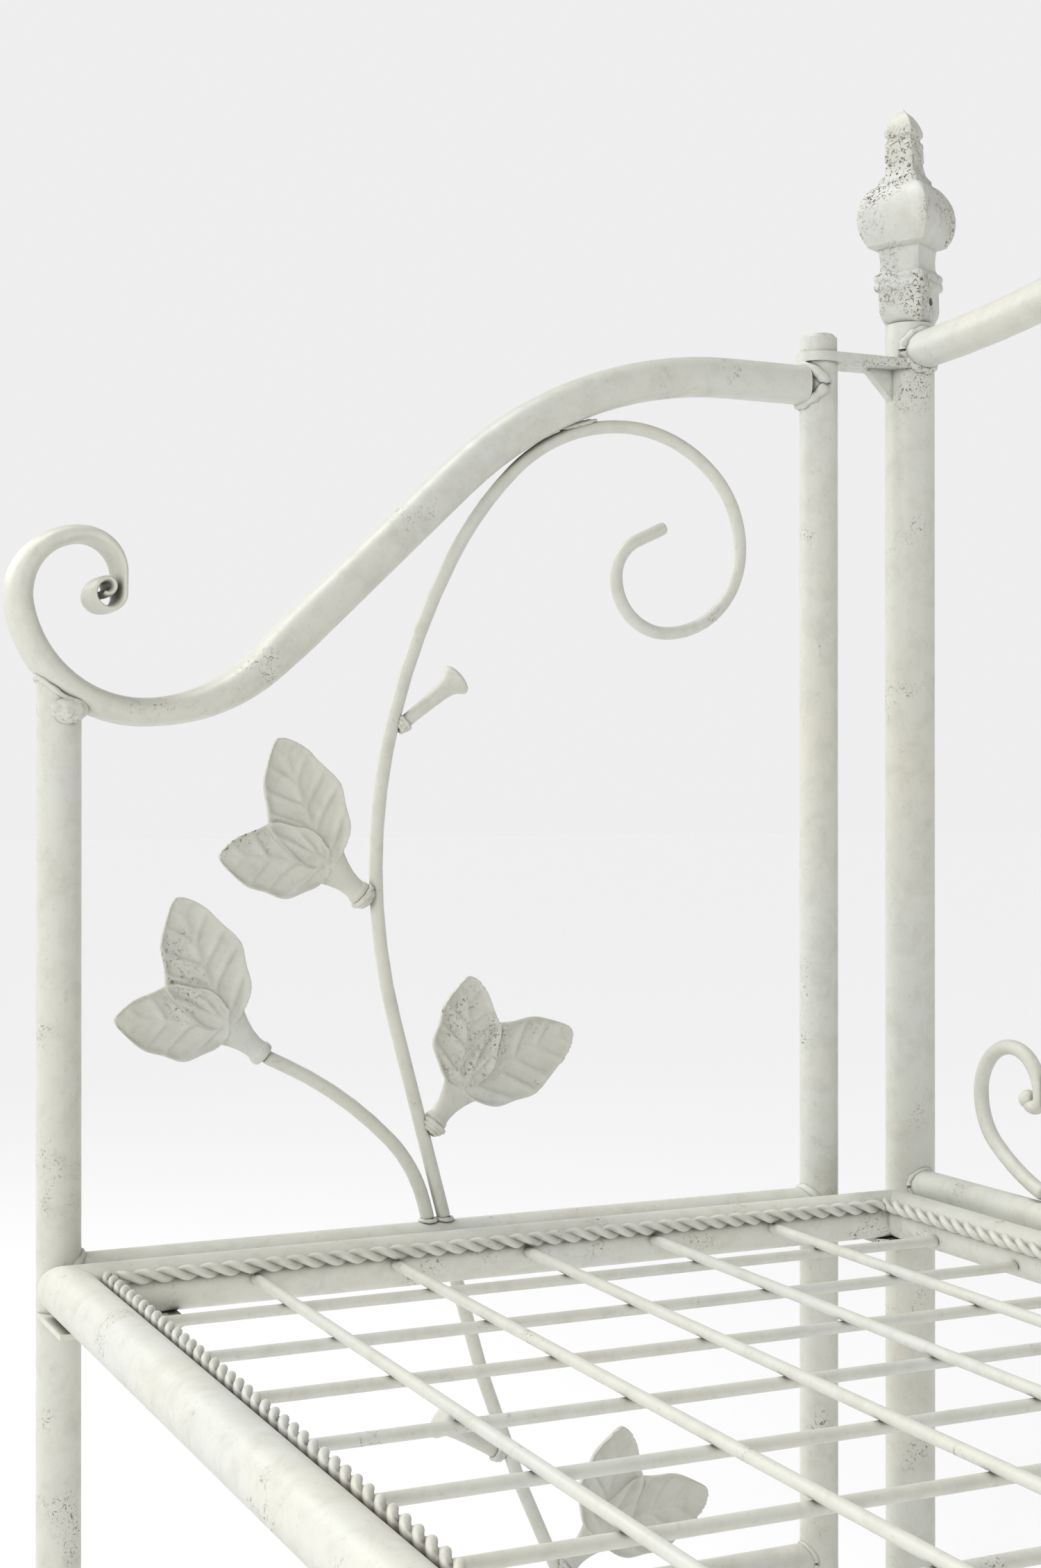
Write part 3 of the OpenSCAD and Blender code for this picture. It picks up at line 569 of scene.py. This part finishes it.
class DAYBED_OT_top_rails(bpy.types.Operator):
    """Draws each end panel's top rail in one run, from the rear post to the rolled scroll"""

    bl_idname = "daybed.top_rails"
    bl_label = "Top rails"

    def execute(self, context):
        full = 2 * POST_R / MM
        for name, side in SIDES.items():
            path = along((RAIL_START[0] - 0.1, *RAIL_START[1:]), RAIL_STEPS, chord=3.0, stride=12.0)
            bend_start = along(RAIL_START, RAIL_STEPS[:3])[-1][3]
            places = []
            for state in path:
                thick = lookup(state[3] - bend_start, RAIL_FLATTENING)
                wide = math.sqrt(2 * full * full - thick * thick)
                places.append(cross_section(state, thick, wide))
            bm = bmesh.new()
            draw_out(bm, places, 40, shape=squarish(2.6))
            piece = finish_mesh(bm, name + "_scrolled_rail", finish_of("tube_paint"), in_panel(side), 60)
            settle(piece, "tube_paint", name + "_top_rail", name + "_top_scroll")
        return {"FINISHED"}


class DAYBED_OT_vines(bpy.types.Operator):
    """Draws the end panels' vine stems and branches"""

    bl_idname = "daybed.vines"
    bl_label = "Vines"

    def execute(self, context):
        sizes = context.scene.daybed_sizes
        d = sizes.vine_d / MM
        rods = (
            ("vine_stem", VINE_START, VINE_STEPS),
            ("vine_branch", BRANCH_START, BRANCH_STEPS),
            ("lower_stem", LOWER_START, LOWER_STEPS),
        )
        for name, side in SIDES.items():
            for rod, start, steps in rods:
                bm = bmesh.new()
                bent_rod(bm, along(start, steps), d, sizes.rod_sides)
                piece = finish_mesh(bm, name + "_" + rod + "_rod", finish_of("rod_paint"), in_panel(side), 60)
                settle(piece, "rod_paint", name + "_" + rod)
        return {"FINISHED"}


def blade(bm, length, width, turn, rise, dish):
    """One leaf: a pointed sheet with a thick rim, a midrib and side veins, dished and given a thickness."""
    vein_pitch = 20.5
    grid = bmesh.ops.create_grid(bm, x_segments=56, y_segments=28, size=1.0)["verts"]
    for v in grid:
        u, s = (v.co.x + 1) / 2, v.co.y
        half = width / 2 * (math.sin(math.pi * min(1.0, u ** 0.88)) ** 0.68) * (1 - 0.08 * u) + 3.5 * (1 - u) + 1.6
        half *= 1 + 0.045 * math.sin(u * 17 + 1.2 * s)
        x = u * length
        y = s * half
        rim = max(0.0, (abs(s) - 0.78) / 0.22)
        z = dish * (s * s - 1) * math.sin(math.pi * u)
        z += rise * 0.8 * math.exp(-((y / 2.8) ** 2)) * (1 - u ** 3)
        vein = (x - abs(y) * 0.95 + 4 + 1.5 * math.sin(x * 0.13)) % vein_pitch - vein_pitch / 2
        z += rise * math.exp(-((vein / 3.1) ** 2)) * (1 - rim) * min(1.0, abs(y) / 3.5) * (1 - u ** 4)
        z += rise * 1.15 * rim * rim * (3 - 2 * rim)
        v.co = Vector((x, y, z))
    faces = list({f for v in grid for f in v.link_faces})
    out = bmesh.ops.solidify(bm, geom=faces, thickness=BLADE_THICK)["geom"]
    whole = list({v for v in grid} | {g for g in out if isinstance(g, bmesh.types.BMVert)})
    bmesh.ops.transform(bm, matrix=Matrix.Translation((BLADE_START, 0, BLADE_THICK / 2)), verts=whole)
    fork = Matrix.Translation((FORK_X, 0, 0))
    turned = fork @ Matrix.Rotation(math.radians(turn), 4, "Z") @ fork.inverted()
    bmesh.ops.transform(bm, matrix=turned, verts=whole)


# A leaf casting, in millimetres from its collar: where its blades start, where they fork, and their thickness
BLADE_START = 36
FORK_X = 38
BLADE_THICK = 4.6
# Its neck: (place, width, thickness)
NECK = [
    (-1.0, 17, 15), (0.4, 19, 17), (4.5, 19, 17), (6.0, 16.5, 14), (11, 16.5, 11), (18, 19, 9.2), (25, 24, 8),
    (32, 31, 7), (39, 39, 6), (46, 45, 4.6), (51, 42, 2.6),
]
# Size of the cells in which a casting's blades and neck are joined in one skin
CASTING_CELL = 0.95


def leaf_casting(sizes):
    """The two-leaved casting, in millimetres: its collar on the origin, its neck along +X."""
    bm = bmesh.new()
    rise, dish = sizes.vein_rise / MM, sizes.leaf_dish / MM
    blade(bm, 103, 58, -27, rise, dish)
    blade(bm, 86, 50, 37, rise, dish)
    draw_out(bm, [round_section(x, wide, thick) for x, wide, thick in NECK], 32)
    bmesh.ops.recalc_face_normals(bm, faces=bm.faces)
    return melted(bm, CASTING_CELL)


def beside(state, direction, rod_d, neck=18.0):
    """Place beside a stem, clear of its surface, towards the given direction."""
    off = math.radians(direction - state[2])
    gap = (rod_d / 2 + 0.2 + neck / 2 * abs(math.cos(off))) / abs(math.sin(off))
    a = math.radians(direction)
    foot = Matrix.Translation((state[0] + gap * math.cos(a), state[1] + gap * math.sin(a), 0))
    return foot @ Matrix.Rotation(a, 4, "Z")


class DAYBED_OT_leaves(bpy.types.Operator):
    """Hangs the cast leaf pairs on the vines"""

    bl_idname = "daybed.leaves"
    bl_label = "Leaves"

    def execute(self, context):
        sizes = context.scene.daybed_sizes
        d, back_d = sizes.vine_d / MM, sizes.back_rod_d / MM
        casting = leaf_casting(sizes)
        end = within(BRANCH_START, BRANCH_STEPS, 3, 1.0)
        lean = Matrix.Rotation(math.radians(LEAF_WAY), 4, "Z")
        panel = {
            "branch_leaf": Matrix.Translation((end[0] - 1.2, end[1] + 1.0, 0)) @ lean,
            "stem_leaf": beside(within(*STEM_LEAF), LEAF_WAY, d),
            "base_leaf": beside(within(*BASE_LEAF), BASE_WAY, d),
            "lower_leaf": beside(within(*LOWER_LEAF), LOWER_WAY, d),
        }
        back = (
            beside(within(*BACK_STEM_LEAF), LEAF_WAY, back_d),
            beside(within(*BACK_BASE_LEAF), BASE_WAY, back_d),
        )
        for name, side in SIDES.items():
            for leaf, place in panel.items():
                node = name + "_" + leaf
                stand = in_panel(side) @ place
                piece = finish_mesh(casting.copy(), node + "_casting", finish_of("cast_paint"), stand, 180)
                settle(piece, "cast_paint", node)
            both = bmesh.new()
            for place in back:
                one = casting.copy()
                bmesh.ops.transform(one, matrix=place, verts=one.verts)
                mesh = bpy.data.meshes.new("one")
                one.to_mesh(mesh)
                one.free()
                both.from_mesh(mesh)
                bpy.data.meshes.remove(mesh)
            piece = finish_mesh(both, name + "_back_leaf_castings", finish_of("cast_paint"), in_back(side), 180)
            settle(piece, "cast_paint", name + "_back_leaves")
        casting.free()
        return {"FINISHED"}


class DAYBED_OT_buds(bpy.types.Operator):
    """Draws the tendrils with flared buds"""

    bl_idname = "daybed.buds"
    bl_label = "Buds"

    def execute(self, context):
        sizes = context.scene.daybed_sizes
        d = sizes.vine_d / MM
        outline = [
            (-0.5, d * 0.9), (0, d), (10, d), (26, d + 1), (38, d + 2.4), (45, d + 4.5), (49, 19), (51.5, 23.5),
            (53.3, 26), (54.8, 26), (56.2, 24), (57.4, 18), (58, 9),
        ]
        starts = (
            beside(within(*STEM_BUD), STEM_BUD_WAY, d, d),
            beside(within(*LOWER_BUD), LOWER_BUD_WAY, d, d),
        )
        for name, side in SIDES.items():
            bm = bmesh.new()
            for start in starts:
                draw_out(bm, [start @ round_section(x, wide, wide) for x, wide in outline], 28)
            piece = finish_mesh(bm, name + "_bud_tendrils", finish_of("rod_paint"), in_panel(side), 50)
            settle(piece, "rod_paint", name + "_buds")
        return {"FINISHED"}


class DAYBED_OT_back_panel(bpy.types.Operator):
    """Draws the back panel's vines, scroll pairs and bosses"""

    bl_idname = "daybed.back_panel"
    bl_label = "Back panel"

    def execute(self, context):
        sizes = context.scene.daybed_sizes
        d = sizes.back_rod_d / MM
        boss_x = middle("left_back_boss").x / MM
        rings = (
            (0, 0.72), (0.02, 0.82), (0.06, 0.93), (0.12, 0.98), (0.3, 0.94), (0.5, 1.0), (0.7, 0.94), (0.88, 0.98),
            (0.94, 0.93), (0.98, 0.82), (1, 0.72),
        )
        for name, side in SIDES.items():
            bm = bmesh.new()
            bent_rod(bm, along(BACK_VINE_START, BACK_VINE_STEPS), d, sizes.rod_sides)
            piece = finish_mesh(bm, name + "_back_vine_rod", finish_of("rod_paint"), in_back(side), 60)
            settle(piece, "rod_paint", name + "_back_vine")

            bm = bmesh.new()
            path = along(SCROLL_START, SCROLL_STEPS)
            path = [(x - END_X / MM, y, h, run) for x, y, h, run in path]
            bent_rod(bm, path, d, sizes.rod_sides)
            ball = bmesh.ops.create_uvsphere(bm, u_segments=24, v_segments=14, radius=7.5)["verts"]
            bmesh.ops.transform(bm, matrix=Matrix.Translation((path[-1][0], path[-1][1], 0)), verts=ball)
            twin = bmesh.ops.duplicate(bm, geom=bm.verts[:] + bm.edges[:] + bm.faces[:])["geom"]
            verts = [g for g in twin if isinstance(g, bmesh.types.BMVert)]
            at_boss = Matrix.Translation((boss_x, 0, 0))
            flip = at_boss @ Matrix.Diagonal((-1, 1, 1, 1)) @ at_boss.inverted()
            bmesh.ops.transform(bm, matrix=flip, verts=verts)
            piece = finish_mesh(bm, name + "_back_scroll_pair", finish_of("rod_paint"), in_back(side), 60)
            settle(piece, "rod_paint", name + "_back_scrolls")

            low, high = (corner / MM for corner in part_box(name + "_back_boss"))
            r = (high.x - low.x) / 2
            tall = high.z - low.z
            places = [
                Matrix.Translation((0, 0, low.z + tall * t)) @ Matrix.Diagonal((r * k, r * k, 1, 1)) for t, k in rings
            ]
            bm = bmesh.new()
            draw_out(bm, places, 36)
            centre = Matrix.Translation((middle(name + "_back_boss").x, BACK_Y, 0)) @ Matrix.Scale(MM, 4)
            piece = finish_mesh(bm, name + "_back_turned_boss", finish_of("cast_paint"), centre, 50)
            settle(piece, "cast_paint", name + "_back_boss")
        return {"FINISHED"}


def paint_groove_shade(piece, centre, lengthwise, reach):
    """Writes where shade is painted on a rope: in its grooves, and most of all on its side towards its tube."""
    grooves = piece.data.attributes.new("groove_shade", "FLOAT", "POINT")
    inwards = Vector((0, -centre.y, 0)) if lengthwise else Vector((-centre.x, 0, 0))
    across = inwards.normalized() * -math.cos(ROPE_ANGLE)
    tube_way = (across + Vector((0, 0, -math.sin(ROPE_ANGLE)))).normalized()
    for v in piece.data.vertices:
        out = v.co - centre
        out[0 if lengthwise else 1] = 0
        deep = max(0.0, (1 - out.length / reach - 0.10) / 0.28)
        facing = out.normalized().dot(tube_way)
        side_shade = max(0.0, min(1.0, (facing + 0.15) / 0.6))
        contact = 2 * max(0.0, facing - 0.75)
        grooves.data[v.index].value = min(1.0, deep * (0.30 + 0.65 * side_shade) + contact)


class DAYBED_OT_ropes(bpy.types.Operator):
    """Twists the two-strand rope trim along the seat frame"""

    bl_idname = "daybed.ropes"
    bl_label = "Rope trim"

    def execute(self, context):
        sizes = context.scene.daybed_sizes
        strand = sizes.strand_d / 2
        valley = 0.0019
        for node in ("front_rope", "back_rope", "left_rope", "right_rope"):
            low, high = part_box(node)
            centre = (low + high) / 2
            lengthwise = node in ("front_rope", "back_rope")
            length = (high.x - low.x) if lengthwise else (high.y - low.y)
            reach = ((high.z - low.z) / 2 + 0.0001) - strand
            count = round(length / (sizes.rope_pitch / 12))
            quarter = Matrix.Rotation(math.radians(90), 4, "Y" if lengthwise else "X")
            places = []
            for k in range(count + 1):
                along_rope = Matrix.Translation((0, 0, length * (k / count - 0.5)))
                twist = Matrix.Rotation(2 * math.pi * length * k / count / sizes.rope_pitch, 4, "Z")
                places.append(Matrix.Translation(centre) @ quarter @ along_rope @ twist)

            def two_strands(angle):
                across = strand * strand - (reach * math.sin(angle)) ** 2
                if across <= 0:
                    return valley
                return max(valley, reach * abs(math.cos(angle)) + math.sqrt(across))

            bm = bmesh.new()
            draw_out(bm, places, 20, shape=two_strands)
            piece = finish_mesh(bm, node + "_twist", finish_of("rope_paint"), None, 75)
            # Writes where shade is painted into the rope's grooves and on its side towards the tube.
            paint_groove_shade(piece, centre, lengthwise, reach + strand)
            settle(piece, "rod_paint", node)
        return {"FINISHED"}


# A finial's outline, in millimetres: (height, half-width of its square section), with its bulb as an ellipse
BULB_R = 33
BULB_Z = 90
BULB_TALL = 37
FINIAL_FOOT = [
    (0, 15.5), (2, 16.8), (7, 18.9), (12, 20.0), (27, 20.0), (28.5, 20.6), (30, 22.4), (32, 23.0), (34, 22.9),
    (35.5, 22.2), (37, 22.2), (38.5, 22.9), (41, 23.0), (43, 22.0), (44.5, 19.6), (48, 18.4), (55, 18.2),
    (61, 18.9), (64.5, 19.4), (66, 23.6), (67.5, 26.6),
]
FINIAL_TOWER = [
    (119, 18.6), (121, 17.7), (124, 17.6), (125.5, 16.2), (129, 14.0), (133, 13.0), (137, 12.4), (139, 12.2),
    (140.5, 12.9), (149, 12.9), (151, 12.4), (153, 12.9), (156, 12.7), (158, 11.0), (160.5, 11.0), (162.5, 12.9),
    (166, 12.9), (171, 11.4), (176, 8.9), (180, 6.3), (182.5, 3.6), (184, 1.7), (186, 0.5),
]
# How far a finial is turned and leans, in degrees, and the hole for its set screw
FINIAL_TURN = 31
FINIAL_LEAN = 1.8
SCREW_Z = 18
SCREW_R = 3.5
SCREW_BOTTOM = 13


class DAYBED_OT_finials(bpy.types.Operator):
    """Casts the square, bulbous finials with their towers"""

    bl_idname = "daybed.finials"
    bl_label = "Finials"

    def execute(self, context):
        bulb = [(z, BULB_R * math.sqrt(1 - ((z - BULB_Z) / BULB_TALL) ** 2)) for z in range(69, 118, 3)]
        outline = FINIAL_FOOT + bulb + FINIAL_TOWER
        for name, side in SIDES.items():
            foot = Matrix.Translation((side * END_X, BACK_Y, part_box(name + "_finial")[0].z))
            turn = Matrix.Rotation(math.radians(FINIAL_TURN) * -side, 4, "Z")
            lean = Matrix.Rotation(math.radians(FINIAL_LEAN), 4, Vector((0.908, -0.419 * -side, 0)))
            stand = foot @ lean @ turn @ Matrix.Scale(MM, 4)
            bm = bmesh.new()
            places = [Matrix.Translation((0, 0, z)) @ Matrix.Diagonal((w, w, 1, 1)) for z, w in outline]
            draw_out(bm, places, 96, shape=squarish(18))
            for v in bm.verts:
                rough = noise.noise(v.co * 0.22) * 0.30 + noise.noise(v.co * 0.7) * 0.14
                out = Vector((v.co.x, v.co.y, 0))
                if out.length > 1:
                    v.co += out.normalized() * rough
            piece = finish_mesh(bm, name + "_finial_casting", finish_of("finial_paint"), stand, 40)
            drilled(piece, stand @ Matrix.Translation((SCREW_BOTTOM, 0, SCREW_Z)) @ ALONG_X, SCREW_R, 20)
            settle(piece, "finial_paint", name + "_finial")
        return {"FINISHED"}


def bead(bm, points, size, seed, closed=True):
    """A lumpy weld bead along the given points, in metres."""
    count = len(points)
    rings = []
    for k in range(count if not closed else count + 1):
        here = points[k % count]
        ahead = points[(k + 1) % count] if closed or k + 1 < count else here
        behind = points[(k - 1) % count] if closed or k else here
        run = (ahead - behind).normalized()
        lump = 1 + 0.28 * noise.noise(here * 260 + Vector((seed, 0, 0))) + 0.14 * math.sin(k * 1.9 + seed)
        if not closed:
            lump *= max(0.15, math.sin(math.pi * (k + 0.35) / (count - 0.3))) ** 0.5
        turn = run.to_track_quat("Z", "Y").to_matrix().to_4x4()
        rings.append(Matrix.Translation(here) @ turn @ Matrix.Scale(size / 2 * lump, 4))
    draw_out(bm, rings, 8, close=not closed)


def saddle(post, post_r, direction, rail_r, count=40):
    """Points round the joint of a rail that meets an upright post: post is a point on the post's axis."""
    side = direction.cross(Vector((0, 0, 1)))
    points = []
    for k in range(count):
        a = 2 * math.pi * k / count
        across = rail_r * math.cos(a)
        out = math.sqrt(max(0.0, post_r * post_r - across * across))
        points.append(post + direction * out + side * across + Vector((0, 0, rail_r * math.sin(a))))
    return points


def ring_round(place, r, count=24):
    """Points of a circle in a placed XY plane."""
    angles = [2 * math.pi * k / count for k in range(count)]
    return [place @ Vector((r * math.cos(a), r * math.sin(a), 0)) for a in angles]


def line_under(plane, crown, rod_d, half, lift):
    """Points along the line where a vine's crown touches the rail above it."""
    a = math.radians(crown[2])
    touch = Vector((crown[0] - math.sin(a) * rod_d / 2, crown[1] + math.cos(a) * rod_d / 2, lift))
    run = Vector((math.cos(a), math.sin(a), 0))
    return [plane @ (touch + run * t) for t in range(-half, half + 1, 2)]


def weld_tubes(bm, name, side, size):
    """Beads where the rails meet the posts of one end panel, and the back's rails meet their post."""
    forward, back, inward = Vector((0, 1, 0)), Vector((0, -1, 0)), Vector((-side, 0, 0))
    front_post = Vector((side * END_X, FRONT_Y, 0))
    rear_post = Vector((side * END_X, REAR_Y, 0))
    back_post = Vector((side * END_X, BACK_Y, 0))
    # A bead where two tubes of one size meet lies just inside the tube, so that it can close on itself
    snug = POST_R * 0.985
    low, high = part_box(name + "_lower_rail")
    low_rail = (low.z + high.z) / 2
    small_r = (high.z - low.z) / 2
    for seed, (post, way) in enumerate(((front_post, forward), (rear_post, back))):
        mid_rail = saddle(post + Vector((0, 0, DECK - POST_R)), POST_R, way, snug)
        bead(bm, mid_rail, size * 1.5, seed * 7 + side)
        bead(bm, saddle(post + Vector((0, 0, low_rail)), POST_R, way, small_r), size * 0.9, seed * 5 + 2 + side)
    rail_z = DECK + RAIL_START[1] * MM
    bead(bm, saddle(rear_post + Vector((0, 0, rail_z)), POST_R, back, snug), size * 1.9, 11 + side)
    bottom = middle("back_bottom_rail").z
    bead(bm, saddle(back_post + Vector((0, 0, bottom)), BACK_POST_R, inward, small_r), size, 21 + side)
    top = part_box(name + "_back_top_rail")[0].z + POST_R
    bead(bm, saddle(back_post + Vector((0, 0, top)), BACK_POST_R, inward, POST_R), size * 1.9, 23 + side)


def weld_rods(bm, side, size, d, back_d):
    """Beads at the feet and crowns of the vines, and collars at their castings and buds."""
    panel, rear = in_panel(side), in_back(side)
    upright = Matrix.Rotation(math.radians(-90), 4, "X")
    for k, (x, y) in enumerate(((299.2, 0.9), (285.7, 0.9), (305.3, -33.0), (401.2, -297.6))):
        foot = panel @ Matrix.Translation((x, y, 0)) @ upright
        bead(bm, ring_round(foot, d / 2 + 0.6), size * 0.72, 31 + k)
    foot = rear @ Matrix.Translation((BACK_VINE_START[0], 10.8, 0)) @ upright
    bead(bm, ring_round(foot, back_d / 2 + 0.6), size * 0.8, 41)
    crown = within(VINE_START, VINE_STEPS, 4, 0.62)
    for lift in (-2.6, 2.6):
        bead(bm, line_under(panel, crown, d, 16, lift), size, 51 + lift, closed=False)
    crown = within(BACK_VINE_START, BACK_VINE_STEPS, 4, 0.8)
    for lift in (-3, 3):
        bead(bm, line_under(rear, crown, back_d, 18, lift), size, 61 + lift, closed=False)
    joints = (
        (panel, beside(within(*STEM_LEAF), LEAF_WAY, d), COLLAR_R),
        (panel, beside(within(*BASE_LEAF), BASE_WAY, d), COLLAR_R),
        (panel, beside(within(*LOWER_LEAF), LOWER_WAY, d), COLLAR_R),
        (panel, beside(within(*STEM_BUD), STEM_BUD_WAY, d, d), d / 2 + 0.3),
        (panel, beside(within(*LOWER_BUD), LOWER_BUD_WAY, d, d), d / 2 + 0.3),
        (rear, beside(within(*BACK_STEM_LEAF), LEAF_WAY, back_d), COLLAR_R),
        (rear, beside(within(*BACK_BASE_LEAF), BASE_WAY, back_d), COLLAR_R),
    )
    for k, (plane, place, r) in enumerate(joints):
        for step, share in ((-1.0, 1.0), (-3.4, 0.86), (-5.8, 0.66)):
            collar = plane @ place @ Matrix.Translation((step, 0, 0)) @ ALONG_X
            bead(bm, ring_round(collar, r * share), size * 0.9, 71 + k + step)


def weld_scroll(bm, side, size):
    """The bead along the cut where the scroll rests on the front post, and the blob inside it."""
    panel = in_panel(side)
    cope = REST_R + RAIL_FLATTENING[2][1] / 2 - 0.3
    bead_r = 15.6
    line = []
    for k in range(40):
        t = 2 * math.pi * k / 40
        x = bead_r * math.cos(t)
        y = REST_Y + REST_R - math.sqrt(cope * cope - (x - REST_X) ** 2)
        line.append(panel @ Vector((x, y, bead_r * math.sin(t))))
    bead(bm, line, size * 1.1, 91)
    blob = bmesh.ops.create_icosphere(bm, subdivisions=4, radius=1.0)["verts"]
    for v in blob:
        v.co *= 1 + 0.16 * noise.noise(v.co * 2.3) + 0.05 * noise.noise(v.co * 7)
    seat = panel @ Matrix.Translation((4, REST_Y, 15)) @ Matrix.Diagonal((13, 10, 8, 1))
    bmesh.ops.transform(bm, matrix=seat, verts=blob)


class DAYBED_OT_welds(bpy.types.Operator):
    """Runs a weld bead round every joint of the tubes and rods"""

    bl_idname = "daybed.welds"
    bl_label = "Welds"

    def execute(self, context):
        sizes = context.scene.daybed_sizes
        for name, side in SIDES.items():
            bm = bmesh.new()
            weld_tubes(bm, name, side, sizes.bead_d)
            weld_rods(bm, side, sizes.bead_d, sizes.vine_d / MM, sizes.back_rod_d / MM)
            weld_scroll(bm, side, sizes.bead_d)
            piece = finish_mesh(bm, name + "_weld_beads", finish_of("weld_paint"), None, 180)
            settle(piece, "fitting_paint")
        return {"FINISHED"}


def put_in(scene, name, data):
    """A new object in the scene's own collection."""
    item = bpy.data.objects.new(name, data)
    scene.collection.objects.link(item)
    return item


def aim(item, direction):
    """Turns a lamp or a camera to look in a direction."""
    item.rotation_euler = Vector(direction).to_track_quat("-Z", "Y").to_euler()


def lay_floor(scene):
    """A wide, pale, matt floor."""
    bm = bmesh.new()
    bmesh.ops.create_grid(bm, x_segments=1, y_segments=1, size=30.0)
    mesh = bpy.data.meshes.new("floor")
    bm.to_mesh(mesh)
    bm.free()
    pale = bpy.data.materials.new("pale_floor")
    pale.use_nodes = True
    shader = pale.node_tree.nodes["Principled BSDF"]
    shader.inputs["Base Color"].default_value = (0.93, 0.93, 0.935, 1)
    shader.inputs["Roughness"].default_value = 0.9
    shader.inputs["Specular IOR Level"].default_value = 0.1
    mesh.materials.append(pale)
    put_in(scene, "floor", mesh)


def light_sky(scene):
    """A studio that is brightest at the horizon."""
    world = bpy.data.worlds.new("studio")
    world.use_nodes = True
    nodes, links = world.node_tree.nodes, world.node_tree.links
    ball = nodes.new("ShaderNodeTexCoord").outputs["Generated"]
    split = nodes.new("ShaderNodeSeparateXYZ")
    links.new(ball, split.inputs["Vector"])
    heights = nodes.new("ShaderNodeMapRange")
    heights.inputs["From Min"].default_value = -1.0
    links.new(split.outputs["Z"], heights.inputs["Value"])
    glow = nodes.new("ShaderNodeValToRGB")
    while len(glow.color_ramp.elements) < len(SKY):
        glow.color_ramp.elements.new(0.5)
    for element, (position, grey) in zip(glow.color_ramp.elements, SKY):
        element.position = position
        element.color = (grey, grey * 0.998, grey * 1.004, 1)
    links.new(heights.outputs["Result"], glow.inputs["Fac"])
    links.new(glow.outputs["Color"], nodes["Background"].inputs["Color"])
    scene.world = world


def hang_lamps(scene):
    """A broad, soft sun and two large lamps."""
    sun = bpy.data.lights.new("sun", "SUN")
    sun.energy = 1.95
    sun.angle = math.radians(40)
    aim(put_in(scene, "sun", sun), (0.30, 0.42, -1.0))
    lamps = (
        ("key", (0.6, -2.4, 1.9), (-0.7, 0.0, 0.75), 1.4, 24),
        ("rim", (-2.6, -1.2, 1.8), (-0.8, 0.1, 0.7), 0.9, 9),
    )
    for name, place, target, size, power in lamps:
        lamp = bpy.data.lights.new(name, "AREA")
        lamp.size = size
        lamp.energy = power
        stand = put_in(scene, name, lamp)
        stand.location = place
        aim(stand, Vector(target) - Vector(place))


def set_camera(scene):
    """The camera, near the seat's front edge, looking along it at the left end."""
    camera = bpy.data.cameras.new("camera")
    camera.lens = 49.79
    camera.sensor_width = 36
    camera.clip_end = 100
    viewer = put_in(scene, "camera", camera)
    viewer.location = (-END_X + 1.5485, FRONT_Y - 0.3504, DECK + 0.3326)
    yaw = math.radians(24.77)
    rise = math.radians(0.15)
    aim(viewer, (-math.cos(yaw), math.sin(yaw), math.tan(rise)))
    scene.camera = viewer


class DAYBED_OT_stage(bpy.types.Operator):
    """Sets the pale floor, the soft lights and the camera"""

    bl_idname = "daybed.stage"
    bl_label = "Stage"

    def execute(self, context):
        scene = context.scene
        lay_floor(scene)
        light_sky(scene)
        scene.view_settings.view_transform = "Standard"
        hang_lamps(scene)
        set_camera(scene)
        return {"FINISHED"}


class DAYBED_PT_panel(bpy.types.Panel):
    """Lists the daybed's sizes, colours and pieces"""

    bl_idname = "DAYBED_PT_panel"
    bl_label = "Daybed"
    bl_space_type = "VIEW_3D"
    bl_region_type = "UI"
    bl_category = "Daybed"

    def draw(self, context):
        for group in (context.scene.daybed_sizes, context.scene.daybed_paint):
            column = self.layout.column(align=True)
            for name in group.__annotations__:
                column.prop(group, name)
        column = self.layout.column(align=True)
        for step in STEPS:
            column.operator(step.bl_idname)


STEPS = (
    DAYBED_OT_finish_frame,
    DAYBED_OT_top_rails,
    DAYBED_OT_vines,
    DAYBED_OT_leaves,
    DAYBED_OT_buds,
    DAYBED_OT_back_panel,
    DAYBED_OT_ropes,
    DAYBED_OT_finials,
    DAYBED_OT_welds,
    DAYBED_OT_stage,
)
CLASSES = (DaybedSizes, DaybedPaint, *STEPS, DAYBED_PT_panel)


def register():
    for cls in CLASSES:
        bpy.utils.register_class(cls)
    bpy.types.Scene.daybed_sizes = PointerProperty(type=DaybedSizes)
    bpy.types.Scene.daybed_paint = PointerProperty(type=DaybedPaint)


def unregister():
    del bpy.types.Scene.daybed_paint
    del bpy.types.Scene.daybed_sizes
    for cls in reversed(CLASSES):
        bpy.utils.unregister_class(cls)


def main():
    register()
    for step in STEPS:
        group, name = step.bl_idname.split(".")
        getattr(getattr(bpy.ops, group), name)()


if __name__ == "__main__":
    main()
